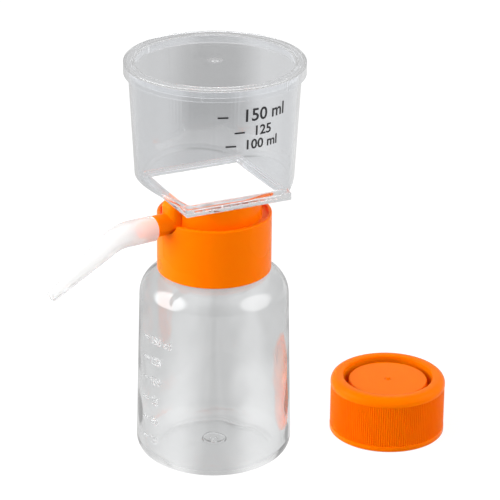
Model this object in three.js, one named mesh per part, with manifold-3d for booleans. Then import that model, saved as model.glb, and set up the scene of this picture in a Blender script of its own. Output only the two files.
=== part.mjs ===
// Vacuum filtration unit: a round funnel on a square filter, screwed to a storage bottle through a
// collar with a suction nozzle. Its swivelling hose connector and its spare screw cap are included.
// Millimetres, +Z up. The set stands on z = 0 and is centred on its own outline.

import * as THREE from 'three';
import { mergeVertices } from 'three/addons/utils/BufferGeometryUtils.js';
import Module from 'manifold-3d';

const wasm = await Module();
wasm.setup();

// ---- Driving dimensions --------------------------------------------------------------------------

const ROUND_STEPS = 48; // facets of a large round wall
const SMALL_STEPS = 20; // facets of a small round wall
const ARC_STEPS = 5; // facets of a rounded corner in a section
const EDGE_STEPS = 3; // facets of a small rounded edge
const BORE_STEPS = 10; // facets of a small drilled hole

const GAP = 0.3; // between two pieces that touch or are welded
const FIT = 0.5; // running clearance of a thread or a push fit
const OVERCUT = 1; // how far a cutting shape runs past the face it cuts

// Receiver bottle
const BOTTLE_BASE_RADIUS = 34.4;
const BOTTLE_SHOULDER_RADIUS = 32.8;
const BOTTLE_SHOULDER_HEIGHT = 75.7;
const BOTTLE_BASE_FILLET = 7.5;
const BOTTLE_WALL = 1.3;
const BOTTLE_FOOT_WIDTH = 1.5;
const BOTTLE_PUSH_UP = 3.4;

// Neck finish and its thread, shared by the bottle, the collar and the storage cap
const NECK_RADIUS = 21.5;
const NECK_WALL = 1.3;
const NECK_HEIGHT = 16.4;
const NECK_TUCK = 0.7; // how far the neck stands out from where the shoulder's arc levels off
const THREAD_DEPTH = 1.0;
const THREAD_PITCH = 4;
const THREAD_WIDTH = 1.5;
const THREAD_CREST = 0.8;
const THREAD_TURNS = 1.75;
const THREAD_ROOT_SINK = 0.4;
const THREAD_RUN_OUT = 6; // steps over which a ridge rises to its full depth
const NECK_THREAD_BELOW_RIM = 13;

// Neck gasket
const GASKET_THICKNESS = 1.2;

// Vacuum adapter: threaded collar, hub, suction nozzle and the hump over it
const COLLAR_WALL = 2;
const COLLAR_HEIGHT = 26.4;
const COLLAR_SHOULDER_GAP = 0.4;
const COLLAR_EDGE = 0.7;
const COLLAR_GROOVE_DEPTH = 0.9;
const COLLAR_RIM_WIDTH = 1.6;
const DECK_THICKNESS = 2;
const COLLAR_LEDGE = 4.6; // from the hub out to the collar's skin
const HUB_WALL = 1.8;
const HUB_RISE = 9.5;
const HUB_GROOVE_STEP = 0.7;
const VENT_HOLE_RADIUS = 3.1;
const VENT_HOLE_COUNT = 4;
const NOZZLE_ANGLE = 213; // degrees round the bottle, from +X
const NOZZLE_RADIUS = 5.3; // its upper half, level with the hump's sides
const NOZZLE_UNDERCUT = 1.1; // by which its lower half is smaller
const NOZZLE_DROP = 1.6; // from the collar's rim down to the nozzle's axis
const NOZZLE_PROUD = 5.7; // from the collar's skin to the shoulder that the connector meets
const STUB_STEP = 0.6; // from the nozzle's lower half in to the stub
const STUB_LENGTH = 7.2;
const STUB_CHAMFER = 0.8;
const NOZZLE_BORE = 2.6;
const NOTCH_MARGIN = 2.4; // beside the nozzle, at the collar's rim
const NOTCH_SAG = 5.2; // from the collar's rim down
const NOTCH_DEPTH = 3.6; // from the collar's skin inwards
const NOTCH_FLOOR = 0.6; // thickness left over the threaded bore
const HUMP_INSET = 0.2; // from the collar's skin in to the hump's face
const HUMP_ROUND = 3.6;
const HUMP_CORNER = 3.5; // of its outer corners, seen from above
const HUMP_BEVEL = 0.8;

// Port plug
const PLUG_LENGTH = 6;
const PLUG_INSET = 6;

// Square filter: support plate, membrane and the funnel's flange
const FILTER_ANGLE = -18.6; // degrees, direction of one corner from +X
const PLATE_THICKNESS = 1.7;
const PLATE_CORNER = 1.2;
const MEMBRANE_SIDE = 42;
const PLATE_MARGIN = 3.75; // from the membrane's edge to the plate's
const WINDOW_MARGIN = 0.8; // how far the flange grips the membrane
const MEMBRANE_THICKNESS = 0.3;
const DRAIN_MARGIN = 1.5; // from the membrane's edge in to the drained area
const DRAIN_DEPTH = 0.9;
const DRAIN_RIB_COUNT = 8;
const DRAIN_RIB_WIDTH = 1;
const DRAIN_GUTTER = 5;
const SPOUT_RADIUS = 4.4;
const SPOUT_BORE = 2.8;
const SPOUT_LENGTH = 25;
const SEAT_RING_DEPTH = 4;
const SEAT_RING_WALL = 1.3;

// Filter funnel
const FLANGE_THICKNESS = 1.7;
const FUNNEL_FOOT_INSET = 0.8; // from the plate's corner in to the round wall
const FUNNEL_RIM_RADIUS = 37.2;
const FUNNEL_HEIGHT = 54.5;
const FUNNEL_WALL = 1.3;
const FLOOR_WALL = 1;
const FLOOR_SLOPE = 23; // degrees from level

// Funnel lid
const LID_WALL = 1.1;
const LID_CLEARANCE = 0.7; // between the funnel's rim and the skirt
const LID_SKIRT = 5.6;
const LID_PLUG_DEPTH = 4.7; // the ring inside the funnel's mouth, below the lid's top
const LID_VENT_RIB_COUNT = 6;
const LID_VENT_RIB_WIDTH = 0.9;
const LID_VENT_RIB_PHASE = -37;

// Hose connector
const CONNECTOR_RADIUS = 5.5;
const CONNECTOR_TIP_RADIUS = 2.3;
const CONNECTOR_TIP_BORE = 1.4;
const CONNECTOR_STRAIGHT = 12.1;
const CONNECTOR_TAIL = 34;
const CONNECTOR_BEND_RADIUS = 18;
const CONNECTOR_BEND = 32; // degrees below level

// Storage cap
const CAP_X = 78.7;
const CAP_Y = 21.1;
const CAP_SKIRT_WALL = 3;
const CAP_HEIGHT = 26.2;
const CAP_ROUND = 4;
const CAP_DISC_DROP = 2;
const CAP_GROOVE_WIDTH = 2.4;
const CAP_GROOVE_TAPER = 0.7;
const CAP_GROOVE_DEPTH = 8;
const CAP_WALL = 1.6;
const CAP_PLUG_WALL = 0.9;
const CAP_BAND = 2.2;
const CAP_KNURL_HEIGHT = 19.8;
const CAP_KNURL_COUNT = 160;
const CAP_KNURL_DEPTH = 0.35;

// ---- Places worked out from the driving dimensions -----------------------------------------------

const degrees = (angle) => THREE.MathUtils.degToRad(angle);

const threadCrest = NECK_RADIUS + THREAD_DEPTH;
const femaleRoot = threadCrest + FIT;
const femaleCrest = NECK_RADIUS + FIT;
const shoulderCentre = NECK_RADIUS - NECK_TUCK;
const shoulderFillet = BOTTLE_SHOULDER_RADIUS - shoulderCentre;
const shoulderAt = (radius) =>
  BOTTLE_SHOULDER_HEIGHT + Math.sqrt(shoulderFillet ** 2 - (radius - shoulderCentre) ** 2);
const neckFoot = shoulderAt(NECK_RADIUS);
const neckTop = neckFoot + NECK_HEIGHT;
const neckBore = NECK_RADIUS - NECK_WALL;
const neckThreadStart = neckTop - NECK_THREAD_BELOW_RIM;

const gasketBottom = neckTop + GAP;
const deckBottom = gasketBottom + GASKET_THICKNESS + GAP;
const deckTop = deckBottom + DECK_THICKNESS;
const collarBottom = shoulderAt(femaleRoot) + COLLAR_SHOULDER_GAP;
const collarTop = collarBottom + COLLAR_HEIGHT;
const hubTop = collarTop + HUB_RISE;
const collarRadius = femaleRoot + COLLAR_WALL;
const hubRadius = collarRadius - COLLAR_LEDGE;
const hubBore = hubRadius - HUB_WALL;
const spoutHole = SPOUT_RADIUS + FIT;
const ventCircle = (spoutHole + hubBore) / 2;
const nozzleHeight = collarTop - NOZZLE_DROP;
const nozzleRoot = hubRadius - HUB_WALL / 2;
const nozzleReach = collarRadius + NOZZLE_PROUD;
const stubEnd = nozzleReach + STUB_LENGTH;
const nozzleUnder = NOZZLE_RADIUS - NOZZLE_UNDERCUT;
const stubRadius = nozzleUnder - STUB_STEP;

const plateSide = MEMBRANE_SIDE + 2 * PLATE_MARGIN;
const plateBottom = hubTop + GAP;
const plateTop = plateBottom + PLATE_THICKNESS;
const flangeTop = plateTop + FLANGE_THICKNESS;
const membranePocket = MEMBRANE_THICKNESS + GAP;
const funnelTop = flangeTop + FUNNEL_HEIGHT;
const funnelFoot = plateSide * Math.SQRT1_2 - FUNNEL_FOOT_INSET;
const funnelSlope = (FUNNEL_RIM_RADIUS - funnelFoot) / FUNNEL_HEIGHT;

const lidBottom = funnelTop + GAP;
const lidTop = lidBottom + LID_WALL;
const lidPlugRadius = FUNNEL_RIM_RADIUS - FUNNEL_WALL - FIT;
const lidSkirtInner = FUNNEL_RIM_RADIUS + LID_CLEARANCE;
const lidRadius = lidSkirtInner + LID_WALL;

const capRadius = femaleRoot + CAP_SKIRT_WALL;

// ---- Shape helpers -------------------------------------------------------------------------------

// A closed three.js geometry as a solid, with its faces turned outwards.
function solid(geometry) {
  const bare = geometry.index ? geometry.toNonIndexed() : geometry.clone();
  bare.deleteAttribute('normal');
  bare.deleteAttribute('uv');
  const merged = mergeVertices(bare, 1e-4);
  const position = merged.attributes.position;
  const corner = [new THREE.Vector3(), new THREE.Vector3(), new THREE.Vector3()];
  const faces = [];
  let volume = 0;
  for (let i = 0; i < merged.index.count; i += 3) {
    const face = [0, 1, 2].map((k) => merged.index.getX(i + k));
    if (face[0] === face[1] || face[1] === face[2] || face[2] === face[0]) continue;
    face.forEach((vertex, k) => corner[k].fromBufferAttribute(position, vertex));
    volume += corner[0].dot(corner[1].clone().cross(corner[2]));
    faces.push(face);
  }
  const outward = volume > 0 ? faces : faces.map((face) => face.reverse());
  const mesh = new wasm.Mesh({
    numProp: 3,
    vertProperties: new Float32Array(position.array),
    triVerts: new Uint32Array(outward.flat()),
  });
  return new wasm.Manifold(mesh);
}

function join(...pieces) {
  return pieces.reduce((whole, piece) => whole.add(piece));
}

// The solid as a named mesh with its own plain material.
function named(name, body, colour, roughness, opacity = 1) {
  const { vertProperties, triVerts } = body.getMesh();
  const geometry = new THREE.BufferGeometry();
  geometry.setAttribute('position', new THREE.BufferAttribute(new Float32Array(vertProperties), 3));
  geometry.setIndex(new THREE.BufferAttribute(new Uint32Array(triVerts), 1));
  geometry.computeVertexNormals();
  const clear = opacity < 1;
  const material = new THREE.MeshStandardMaterial({
    color: colour,
    roughness,
    metalness: 0,
    transparent: clear,
    opacity,
  });
  const mesh = new THREE.Mesh(geometry, material);
  mesh.name = name;
  return mesh;
}

// Points of a circular arc in a section, as [radius, height] pairs.
function arc(centreRadius, centreHeight, radius, from, to, steps = ARC_STEPS) {
  const points = [];
  for (let i = 0; i <= steps; i += 1) {
    const angle = degrees(from + ((to - from) * i) / steps);
    points.push([centreRadius + radius * Math.cos(angle), centreHeight + radius * Math.sin(angle)]);
  }
  return points;
}

// A section of [radius, height] pairs turned about the Z axis.
function turned(section, steps = ROUND_STEPS) {
  const closed = section[0][0] === 0 && section.at(-1)[0] === 0;
  const ring = closed ? section : [...section, section[0]];
  const points = ring.map(([radius, height]) => new THREE.Vector2(radius, height));
  return solid(new THREE.LatheGeometry(points, steps).rotateX(Math.PI / 2));
}

function disc(radius, bottom, top, steps = ROUND_STEPS) {
  return turned([[0, bottom], [radius, bottom], [radius, top], [0, top]], steps);
}

function block(width, depth, bottom, top) {
  return solid(new THREE.BoxGeometry(width, depth, top - bottom).translate(0, 0, (bottom + top) / 2));
}

// A square plate with its corners rounded.
function plate(side, bottom, top, corner) {
  const half = side / 2;
  const inner = half - corner;
  const outline = new THREE.Shape();
  outline.moveTo(inner, -half);
  outline.absarc(inner, -inner, corner, -Math.PI / 2, 0);
  outline.absarc(inner, inner, corner, 0, Math.PI / 2);
  outline.absarc(-inner, inner, corner, Math.PI / 2, Math.PI);
  outline.absarc(-inner, -inner, corner, Math.PI, 1.5 * Math.PI);
  const sheet = new THREE.ExtrudeGeometry(outline, {
    depth: top - bottom,
    bevelEnabled: false,
    curveSegments: EDGE_STEPS,
  });
  return solid(sheet.translate(0, 0, bottom));
}

// A four-sided frustum that opens upwards, flat sides square to X and Y.
function hopper(side, bottom, height, slope) {
  const topSide = side + (2 * height) / Math.tan(degrees(slope));
  const shape = new THREE.CylinderGeometry(topSide * Math.SQRT1_2, side * Math.SQRT1_2, height, 4);
  shape.rotateX(Math.PI / 2).rotateZ(Math.PI / 4).translate(0, 0, bottom + height / 2);
  return solid(shape);
}

// Rings of points joined into one closed skin, the last ring back to the first.
function skin(rings) {
  const around = rings[0].length;
  const points = rings.flat();
  const faces = [];
  for (let i = 0; i < rings.length; i += 1) {
    const next = (i + 1) % rings.length;
    for (let k = 0; k < around; k += 1) {
      const side = (k + 1) % around;
      const a = i * around + k;
      const b = i * around + side;
      const c = next * around + side;
      const d = next * around + k;
      faces.push(a, b, c, a, c, d);
    }
  }
  const geometry = new THREE.BufferGeometry().setFromPoints(points);
  geometry.setIndex(faces);
  return solid(geometry);
}

// A helical thread ridge. It stands out from the wall at root by depth, inwards where that is negative.
function threadRidge(root, depth, start) {
  const steps = Math.round(THREAD_TURNS * ROUND_STEPS);
  const sunk = root - Math.sign(depth) * THREAD_ROOT_SINK;
  const sections = [];
  for (let i = 0; i <= steps; i += 1) {
    const angle = (2 * Math.PI * i) / ROUND_STEPS;
    const height = start + (THREAD_PITCH * i) / ROUND_STEPS;
    const rise = Math.min(1, i / THREAD_RUN_OUT, (steps - i) / THREAD_RUN_OUT);
    const crest = THREE.MathUtils.lerp((sunk + root) / 2, root + depth, rise);
    const section = [
      [sunk, height - THREAD_WIDTH / 2],
      [crest, height - THREAD_CREST / 2],
      [crest, height + THREAD_CREST / 2],
      [sunk, height + THREAD_WIDTH / 2],
    ];
    sections.push(section.map(([r, z]) => new THREE.Vector3(r * Math.cos(angle), r * Math.sin(angle), z)));
  }
  const points = sections.flat();
  const faces = [];
  for (let i = 0; i < steps; i += 1) {
    for (let k = 0; k < 4; k += 1) {
      const side = (k + 1) % 4;
      const a = 4 * i + k;
      const b = 4 * i + side;
      faces.push(a, b, b + 4, a, b + 4, a + 4);
    }
  }
  const end = 4 * steps;
  faces.push(0, 2, 1, 0, 3, 2, end, end + 1, end + 2, end, end + 2, end + 3);
  const geometry = new THREE.BufferGeometry().setFromPoints(points);
  geometry.setIndex(faces);
  return solid(geometry);
}

// A round bar along +X from one distance to another, at a height, with its far end chamfered.
function bar(radius, from, to, height, chamfer = 0) {
  const section = [[0, from], [radius, from], [radius, to - chamfer], [radius - chamfer, to], [0, to]];
  const outline = chamfer > 0 ? section : [section[0], section[1], [radius, to], [0, to]];
  const points = outline.map(([r, h]) => new THREE.Vector2(r, h));
  const shape = new THREE.LatheGeometry(points, SMALL_STEPS).rotateZ(-Math.PI / 2);
  return solid(shape.translate(0, 0, height));
}

// ---- Sub-parts -----------------------------------------------------------------------------------

function receiverBottle() {
  const foot = BOTTLE_BASE_RADIUS - BOTTLE_BASE_FILLET;
  const footInner = foot - BOTTLE_FOOT_WIDTH;
  const domeRadius = (footInner ** 2 + BOTTLE_PUSH_UP ** 2) / (2 * BOTTLE_PUSH_UP);
  const domeAngle = (Math.asin(footInner / domeRadius) * 180) / Math.PI;
  const domeCentre = BOTTLE_PUSH_UP - domeRadius;
  const innerFillet = BOTTLE_BASE_FILLET - BOTTLE_WALL;
  const innerShoulder = shoulderFillet - BOTTLE_WALL;
  const neckArc = (Math.asin((neckFoot - BOTTLE_SHOULDER_HEIGHT) / shoulderFillet) * 180) / Math.PI;
  const outside = [
    ...arc(0, domeCentre, domeRadius, 90, 90 - domeAngle, EDGE_STEPS),
    ...arc(foot, BOTTLE_BASE_FILLET, BOTTLE_BASE_FILLET, -90, 0),
    ...arc(shoulderCentre, BOTTLE_SHOULDER_HEIGHT, shoulderFillet, 0, neckArc),
    [NECK_RADIUS, neckTop],
  ];
  const inside = [
    [neckBore, neckTop],
    [neckBore, BOTTLE_SHOULDER_HEIGHT + innerShoulder],
    ...arc(shoulderCentre, BOTTLE_SHOULDER_HEIGHT, innerShoulder, 90, 0),
    ...arc(foot, BOTTLE_BASE_FILLET, innerFillet, 0, -90),
    ...arc(0, domeCentre, domeRadius + BOTTLE_WALL, 90 - domeAngle, 90, EDGE_STEPS),
  ];
  outside[0][0] = 0;
  inside[inside.length - 1][0] = 0;
  const thread = threadRidge(NECK_RADIUS, THREAD_DEPTH, neckThreadStart);
  return named('receiver_bottle', turned([...outside, ...inside]).add(thread), 0xdfe6ea, 0.08, 0.35);
}

function neckGasket() {
  const section = [
    [neckBore, gasketBottom],
    [femaleRoot - FIT, gasketBottom],
    [femaleRoot - FIT, gasketBottom + GASKET_THICKNESS],
    [neckBore, gasketBottom + GASKET_THICKNESS],
  ];
  return named('neck_gasket', turned(section), 0xe8e4da, 0.7);
}

// The nozzle is round below. Above, it is a little wider and carries on up into the hump.
function nozzleBody() {
  const humpTop = hubTop;
  const humpReach = collarRadius - HUMP_INSET;
  const cornerReach = humpReach - HUMP_CORNER;
  const cornerSide = NOZZLE_RADIUS - HUMP_CORNER;
  const outline = new THREE.Shape();
  outline.moveTo(hubBore, nozzleHeight);
  outline.lineTo(humpReach, nozzleHeight);
  outline.lineTo(humpReach, humpTop - HUMP_ROUND);
  outline.absarc(humpReach - HUMP_ROUND, humpTop - HUMP_ROUND, HUMP_ROUND, 0, Math.PI / 2);
  outline.lineTo(hubBore, humpTop);
  const hump = new THREE.ExtrudeGeometry(outline, {
    depth: 2 * (NOZZLE_RADIUS - HUMP_BEVEL),
    bevelThickness: HUMP_BEVEL,
    bevelSize: HUMP_BEVEL,
    bevelOffset: -HUMP_BEVEL,
    bevelSegments: EDGE_STEPS,
    curveSegments: ARC_STEPS,
  });
  hump.translate(0, 0, HUMP_BEVEL - NOZZLE_RADIUS).rotateX(Math.PI / 2);
  const plan = new THREE.Shape();
  plan.moveTo(hubBore, -NOZZLE_RADIUS);
  plan.absarc(cornerReach, -cornerSide, HUMP_CORNER, -Math.PI / 2, 0);
  plan.absarc(cornerReach, cornerSide, HUMP_CORNER, 0, Math.PI / 2);
  plan.lineTo(hubBore, NOZZLE_RADIUS);
  const column = new THREE.ExtrudeGeometry(plan, {
    depth: humpTop + OVERCUT,
    bevelEnabled: false,
    curveSegments: EDGE_STEPS,
  });
  const upper = bar(NOZZLE_RADIUS, nozzleRoot, nozzleReach, nozzleHeight);
  return join(
    solid(hump).intersect(solid(column)),
    upper.trimByPlane([0, 0, 1], nozzleHeight),
    bar(nozzleUnder, nozzleRoot, nozzleReach, nozzleHeight),
    bar(stubRadius, nozzleRoot, stubEnd, nozzleHeight, STUB_CHAMFER),
  );
}

// The shallow round slot in the collar's rim that the nozzle comes out of.
function nozzleNotch() {
  const inner = collarRadius - NOTCH_DEPTH;
  const outer = collarRadius + OVERCUT;
  const halfWidth = NOZZLE_RADIUS + NOTCH_MARGIN;
  const radius = (halfWidth ** 2 + NOTCH_SAG ** 2) / (2 * NOTCH_SAG);
  const round = bar(radius, inner, outer, collarTop - NOTCH_SAG + radius);
  return round.trimByPlane([0, 0, 1], deckBottom + NOTCH_FLOOR);
}

function vacuumAdapter() {
  const rimInner = collarRadius - COLLAR_RIM_WIDTH;
  const grooveInner = hubRadius + HUB_GROOVE_STEP;
  const section = [
    [femaleRoot, collarBottom],
    [collarRadius - COLLAR_EDGE, collarBottom],
    [collarRadius, collarBottom + COLLAR_EDGE],
    ...arc(collarRadius - COLLAR_EDGE, collarTop - COLLAR_EDGE, COLLAR_EDGE, 0, 90, EDGE_STEPS),
    [rimInner, collarTop],
    [rimInner, collarTop - COLLAR_GROOVE_DEPTH],
    [grooveInner, collarTop - COLLAR_GROOVE_DEPTH],
    [hubRadius, collarTop],
    [hubRadius, hubTop],
    [hubBore, hubTop],
    [hubBore, deckTop],
    [spoutHole, deckTop],
    [spoutHole, deckBottom],
    [femaleRoot, deckBottom],
  ];
  const ridge = threadRidge(femaleRoot, femaleCrest - femaleRoot, neckThreadStart + THREAD_PITCH / 2);
  let body = turned(section).add(ridge);
  body = body.subtract(nozzleNotch().rotate([0, 0, NOZZLE_ANGLE]));
  body = body.add(nozzleBody().rotate([0, 0, NOZZLE_ANGLE]));
  const bore = bar(NOZZLE_BORE, hubBore - HUB_WALL, stubEnd + GAP, nozzleHeight);
  body = body.subtract(bore.rotate([0, 0, NOZZLE_ANGLE]));
  for (let i = 0; i < VENT_HOLE_COUNT; i += 1) {
    const hole = disc(VENT_HOLE_RADIUS, deckBottom - OVERCUT, deckTop + OVERCUT, BORE_STEPS);
    const angle = (360 * i) / VENT_HOLE_COUNT;
    body = body.subtract(hole.translate([ventCircle, 0, 0]).rotate([0, 0, angle]));
  }
  return named('vacuum_adapter', body, 0xf57a12, 0.35);
}

function portPlug() {
  const outer = stubEnd - PLUG_INSET;
  const plug = bar(NOZZLE_BORE - GAP, outer - PLUG_LENGTH, outer, nozzleHeight);
  return named('port_plug', plug.rotate([0, 0, NOZZLE_ANGLE]), 0xf4f4f0, 0.8);
}

function membraneSupport() {
  const spoutEnd = plateBottom - SPOUT_LENGTH;
  const drainFloor = plateTop - DRAIN_DEPTH;
  const drainSide = MEMBRANE_SIDE - 2 * DRAIN_MARGIN;
  let body = plate(plateSide, plateBottom, plateTop, PLATE_CORNER);
  body = body.subtract(block(drainSide, drainSide, drainFloor, plateTop + OVERCUT));
  for (let i = 1; i <= DRAIN_RIB_COUNT; i += 1) {
    const place = drainSide * (i / (DRAIN_RIB_COUNT + 1) - 0.5);
    const length = (drainSide - DRAIN_GUTTER) / 2;
    const rib = block(DRAIN_RIB_WIDTH, length, drainFloor - GAP, plateTop);
    const offset = (drainSide - length) / 2;
    body = join(body, rib.translate([place, offset, 0]), rib.translate([place, -offset, 0]));
  }
  const ringRadius = hubBore - GAP;
  const ring = turned([
    [ringRadius - SEAT_RING_WALL, plateBottom - SEAT_RING_DEPTH],
    [ringRadius, plateBottom - SEAT_RING_DEPTH],
    [ringRadius, plateBottom + GAP],
    [ringRadius - SEAT_RING_WALL, plateBottom + GAP],
  ]);
  const spout = disc(SPOUT_RADIUS, spoutEnd, plateBottom + GAP, SMALL_STEPS);
  const bore = disc(SPOUT_BORE, spoutEnd - OVERCUT, plateTop + OVERCUT, SMALL_STEPS);
  body = join(body, ring, spout).subtract(bore);
  return named('membrane_support', body.rotate([0, 0, FILTER_ANGLE + 45]), 0xe6ebee, 0.1, 0.35);
}

function filterMembrane() {
  const sheet = block(MEMBRANE_SIDE, MEMBRANE_SIDE, plateTop, plateTop + MEMBRANE_THICKNESS);
  return named('filter_membrane', sheet.rotate([0, 0, FILTER_ANGLE + 45]), 0xfbfbfa, 0.85);
}

function filterFunnel() {
  const floorRise = FLOOR_WALL / Math.cos(degrees(FLOOR_SLOPE));
  const innerSide = plateSide - (2 * floorRise) / Math.tan(degrees(FLOOR_SLOPE));
  const cone = (inset, bottom, top) => {
    const radiusAt = (height) => funnelFoot + funnelSlope * (height - flangeTop) - inset;
    return turned([[0, bottom], [radiusAt(bottom), bottom], [radiusAt(top), top], [0, top]]);
  };
  const hopperHeight = FUNNEL_HEIGHT + LID_SKIRT;
  const outside = cone(0, plateTop, funnelTop).rotate([0, 0, -FILTER_ANGLE - 45]);
  const inside = cone(FUNNEL_WALL, plateTop, funnelTop + OVERCUT).rotate([0, 0, -FILTER_ANGLE - 45]);
  const shell = outside.intersect(hopper(plateSide, flangeTop, hopperHeight, FLOOR_SLOPE));
  const flange = plate(plateSide, plateTop, flangeTop, PLATE_CORNER);
  const hollow = inside.intersect(hopper(innerSide, flangeTop, hopperHeight, FLOOR_SLOPE));
  const windowSide = MEMBRANE_SIDE - 2 * WINDOW_MARGIN;
  const window = block(windowSide, windowSide, plateTop - OVERCUT, flangeTop + OVERCUT);
  const pocketSide = MEMBRANE_SIDE + 2 * GAP;
  const pocket = block(pocketSide, pocketSide, plateTop - OVERCUT, plateTop + membranePocket);
  const body = shell.add(flange).subtract(hollow).subtract(window).subtract(pocket);
  return named('filter_funnel', body.rotate([0, 0, FILTER_ANGLE + 45]), 0xe2e7ea, 0.08, 0.35);
}

function funnelLid() {
  const skirtBottom = lidTop - LID_SKIRT;
  const plugBottom = lidTop - LID_PLUG_DEPTH;
  const plugInner = lidPlugRadius - LID_WALL;
  const section = [
    [0, lidBottom],
    [plugInner, lidBottom],
    [plugInner, plugBottom],
    [lidPlugRadius, plugBottom],
    [lidPlugRadius, lidBottom],
    [lidSkirtInner, lidBottom],
    [lidSkirtInner, skirtBottom],
    [lidRadius, skirtBottom],
    [lidRadius, lidTop],
    [0, lidTop],
  ];
  let body = turned(section);
  const ribDepth = LID_CLEARANCE - GAP / 2;
  const ribTop = lidBottom + LID_WALL / 2;
  for (let i = 0; i < LID_VENT_RIB_COUNT; i += 1) {
    const rib = block(ribDepth + LID_WALL / 2, LID_VENT_RIB_WIDTH, skirtBottom + GAP, ribTop);
    const middle = lidSkirtInner + (LID_WALL / 2 - ribDepth) / 2;
    const angle = LID_VENT_RIB_PHASE + (360 * i) / LID_VENT_RIB_COUNT;
    body = body.add(rib.translate([middle, 0, 0]).rotate([0, 0, angle]));
  }
  return named('funnel_lid', body, 0xe8edf0, 0.08, 0.35);
}

function hoseConnector() {
  const bend = degrees(CONNECTOR_BEND);
  const bendLength = CONNECTOR_BEND_RADIUS * bend;
  const total = CONNECTOR_STRAIGHT + bendLength + CONNECTOR_TAIL;
  const mouth = nozzleReach + GAP;
  const socketDepth = STUB_LENGTH + GAP;
  const socketRadius = stubRadius + GAP;
  // Distance out, height and slope at a length along the middle line.
  const place = (along) => {
    const turn = Math.min(Math.max(along - CONNECTOR_STRAIGHT, 0), bendLength) / CONNECTOR_BEND_RADIUS;
    const straight = Math.min(along, CONNECTOR_STRAIGHT);
    const tail = Math.max(along - CONNECTOR_STRAIGHT - bendLength, 0);
    const out = straight + CONNECTOR_BEND_RADIUS * Math.sin(turn) + tail * Math.cos(turn);
    const down = CONNECTOR_BEND_RADIUS * (1 - Math.cos(turn)) + tail * Math.sin(turn);
    return { x: mouth + out, z: nozzleHeight - down, turn };
  };
  const ring = (along, radius) => {
    const { x, z, turn } = place(along);
    const points = [];
    for (let k = 0; k < SMALL_STEPS; k += 1) {
      const angle = (2 * Math.PI * k) / SMALL_STEPS;
      const lift = radius * Math.cos(angle);
      const side = radius * Math.sin(angle);
      points.push(new THREE.Vector3(x + lift * Math.sin(turn), side, z + lift * Math.cos(turn)));
    }
    return points;
  };
  const tailStart = CONNECTOR_STRAIGHT;
  const taper = (along) => Math.max(along - tailStart, 0) / (total - tailStart);
  const outerRadius = (along) => THREE.MathUtils.lerp(CONNECTOR_RADIUS, CONNECTOR_TIP_RADIUS, taper(along));
  const boreStart = socketRadius - FIT;
  const innerRadius = (along) => THREE.MathUtils.lerp(boreStart, CONNECTOR_TIP_BORE, taper(along));
  const stations = [0, tailStart];
  for (let i = 1; i <= ARC_STEPS; i += 1) {
    stations.push(tailStart + (bendLength * i) / ARC_STEPS);
  }
  stations.push(total);
  const outerRings = stations.map((along) => ring(along, outerRadius(along)));
  const innerStations = stations.filter((along) => along > socketDepth).reverse();
  const innerRings = innerStations.map((along) => ring(along, innerRadius(along)));
  const socket = [ring(socketDepth, boreStart), ring(socketDepth, socketRadius), ring(0, socketRadius)];
  const body = skin([...outerRings, ...innerRings, ...socket]);
  return named('hose_connector', body.rotate([0, 0, NOZZLE_ANGLE]), 0xf6f6f4, 0.5, 0.8);
}

function storageCap() {
  const discTop = CAP_HEIGHT - CAP_DISC_DROP;
  const discBottom = discTop - CAP_WALL;
  const grooveFloor = CAP_HEIGHT - CAP_GROOVE_DEPTH;
  const plugBottom = grooveFloor - CAP_PLUG_WALL;
  const grooveMouthInner = neckBore - CAP_GROOVE_WIDTH;
  const grooveInner = grooveMouthInner + CAP_GROOVE_TAPER;
  const grooveOuter = neckBore - CAP_GROOVE_TAPER;
  const plugInner = grooveInner - CAP_PLUG_WALL;
  const plugOuter = neckBore - GAP;
  const roofBottom = CAP_HEIGHT - CAP_WALL;
  const wallRadius = capRadius - CAP_KNURL_DEPTH;
  const roundCentre = capRadius - CAP_ROUND;
  const section = [
    [0, discBottom],
    [plugInner, discBottom],
    [plugInner, plugBottom],
    [plugOuter, plugBottom],
    [plugOuter, roofBottom],
    [femaleRoot, roofBottom],
    [femaleRoot, 0],
    [capRadius, 0],
    [capRadius, CAP_BAND],
    [wallRadius, CAP_BAND],
    [wallRadius, CAP_BAND + CAP_KNURL_HEIGHT],
    [capRadius, CAP_BAND + CAP_KNURL_HEIGHT],
    ...arc(roundCentre, CAP_HEIGHT - CAP_ROUND, CAP_ROUND, 0, 90),
    [neckBore, CAP_HEIGHT - CAP_GROOVE_TAPER],
    [grooveOuter, grooveFloor],
    [grooveInner, grooveFloor],
    [grooveMouthInner, discTop - CAP_GROOVE_TAPER],
    [grooveMouthInner - CAP_GROOVE_TAPER, discTop],
    [0, discTop],
  ];
  const star = new THREE.Shape();
  for (let i = 0; i < 2 * CAP_KNURL_COUNT; i += 1) {
    const angle = (Math.PI * i) / CAP_KNURL_COUNT;
    const radius = i % 2 === 0 ? capRadius : wallRadius;
    const place = [radius * Math.cos(angle), radius * Math.sin(angle)];
    if (i === 0) star.moveTo(...place);
    else star.lineTo(...place);
  }
  const bore = new THREE.Path();
  bore.absarc(0, 0, femaleRoot + CAP_WALL / 2, 0, 2 * Math.PI, true);
  star.holes.push(bore);
  const knurl = new THREE.ExtrudeGeometry(star, { depth: CAP_KNURL_HEIGHT, bevelEnabled: false });
  const ridge = threadRidge(femaleRoot, femaleCrest - femaleRoot, THREAD_PITCH);
  const body = join(turned(section), solid(knurl.translate(0, 0, CAP_BAND)), ridge);
  const mesh = named('storage_cap', body, 0xf57a12, 0.4);
  mesh.position.set(CAP_X, CAP_Y, 0);
  return mesh;
}

// ---- Assembly ------------------------------------------------------------------------------------

const group = new THREE.Group();
group.add(
  receiverBottle(),
  neckGasket(),
  vacuumAdapter(),
  portPlug(),
  membraneSupport(),
  filterMembrane(),
  filterFunnel(),
  funnelLid(),
  hoseConnector(),
  storageCap(),
);

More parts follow.
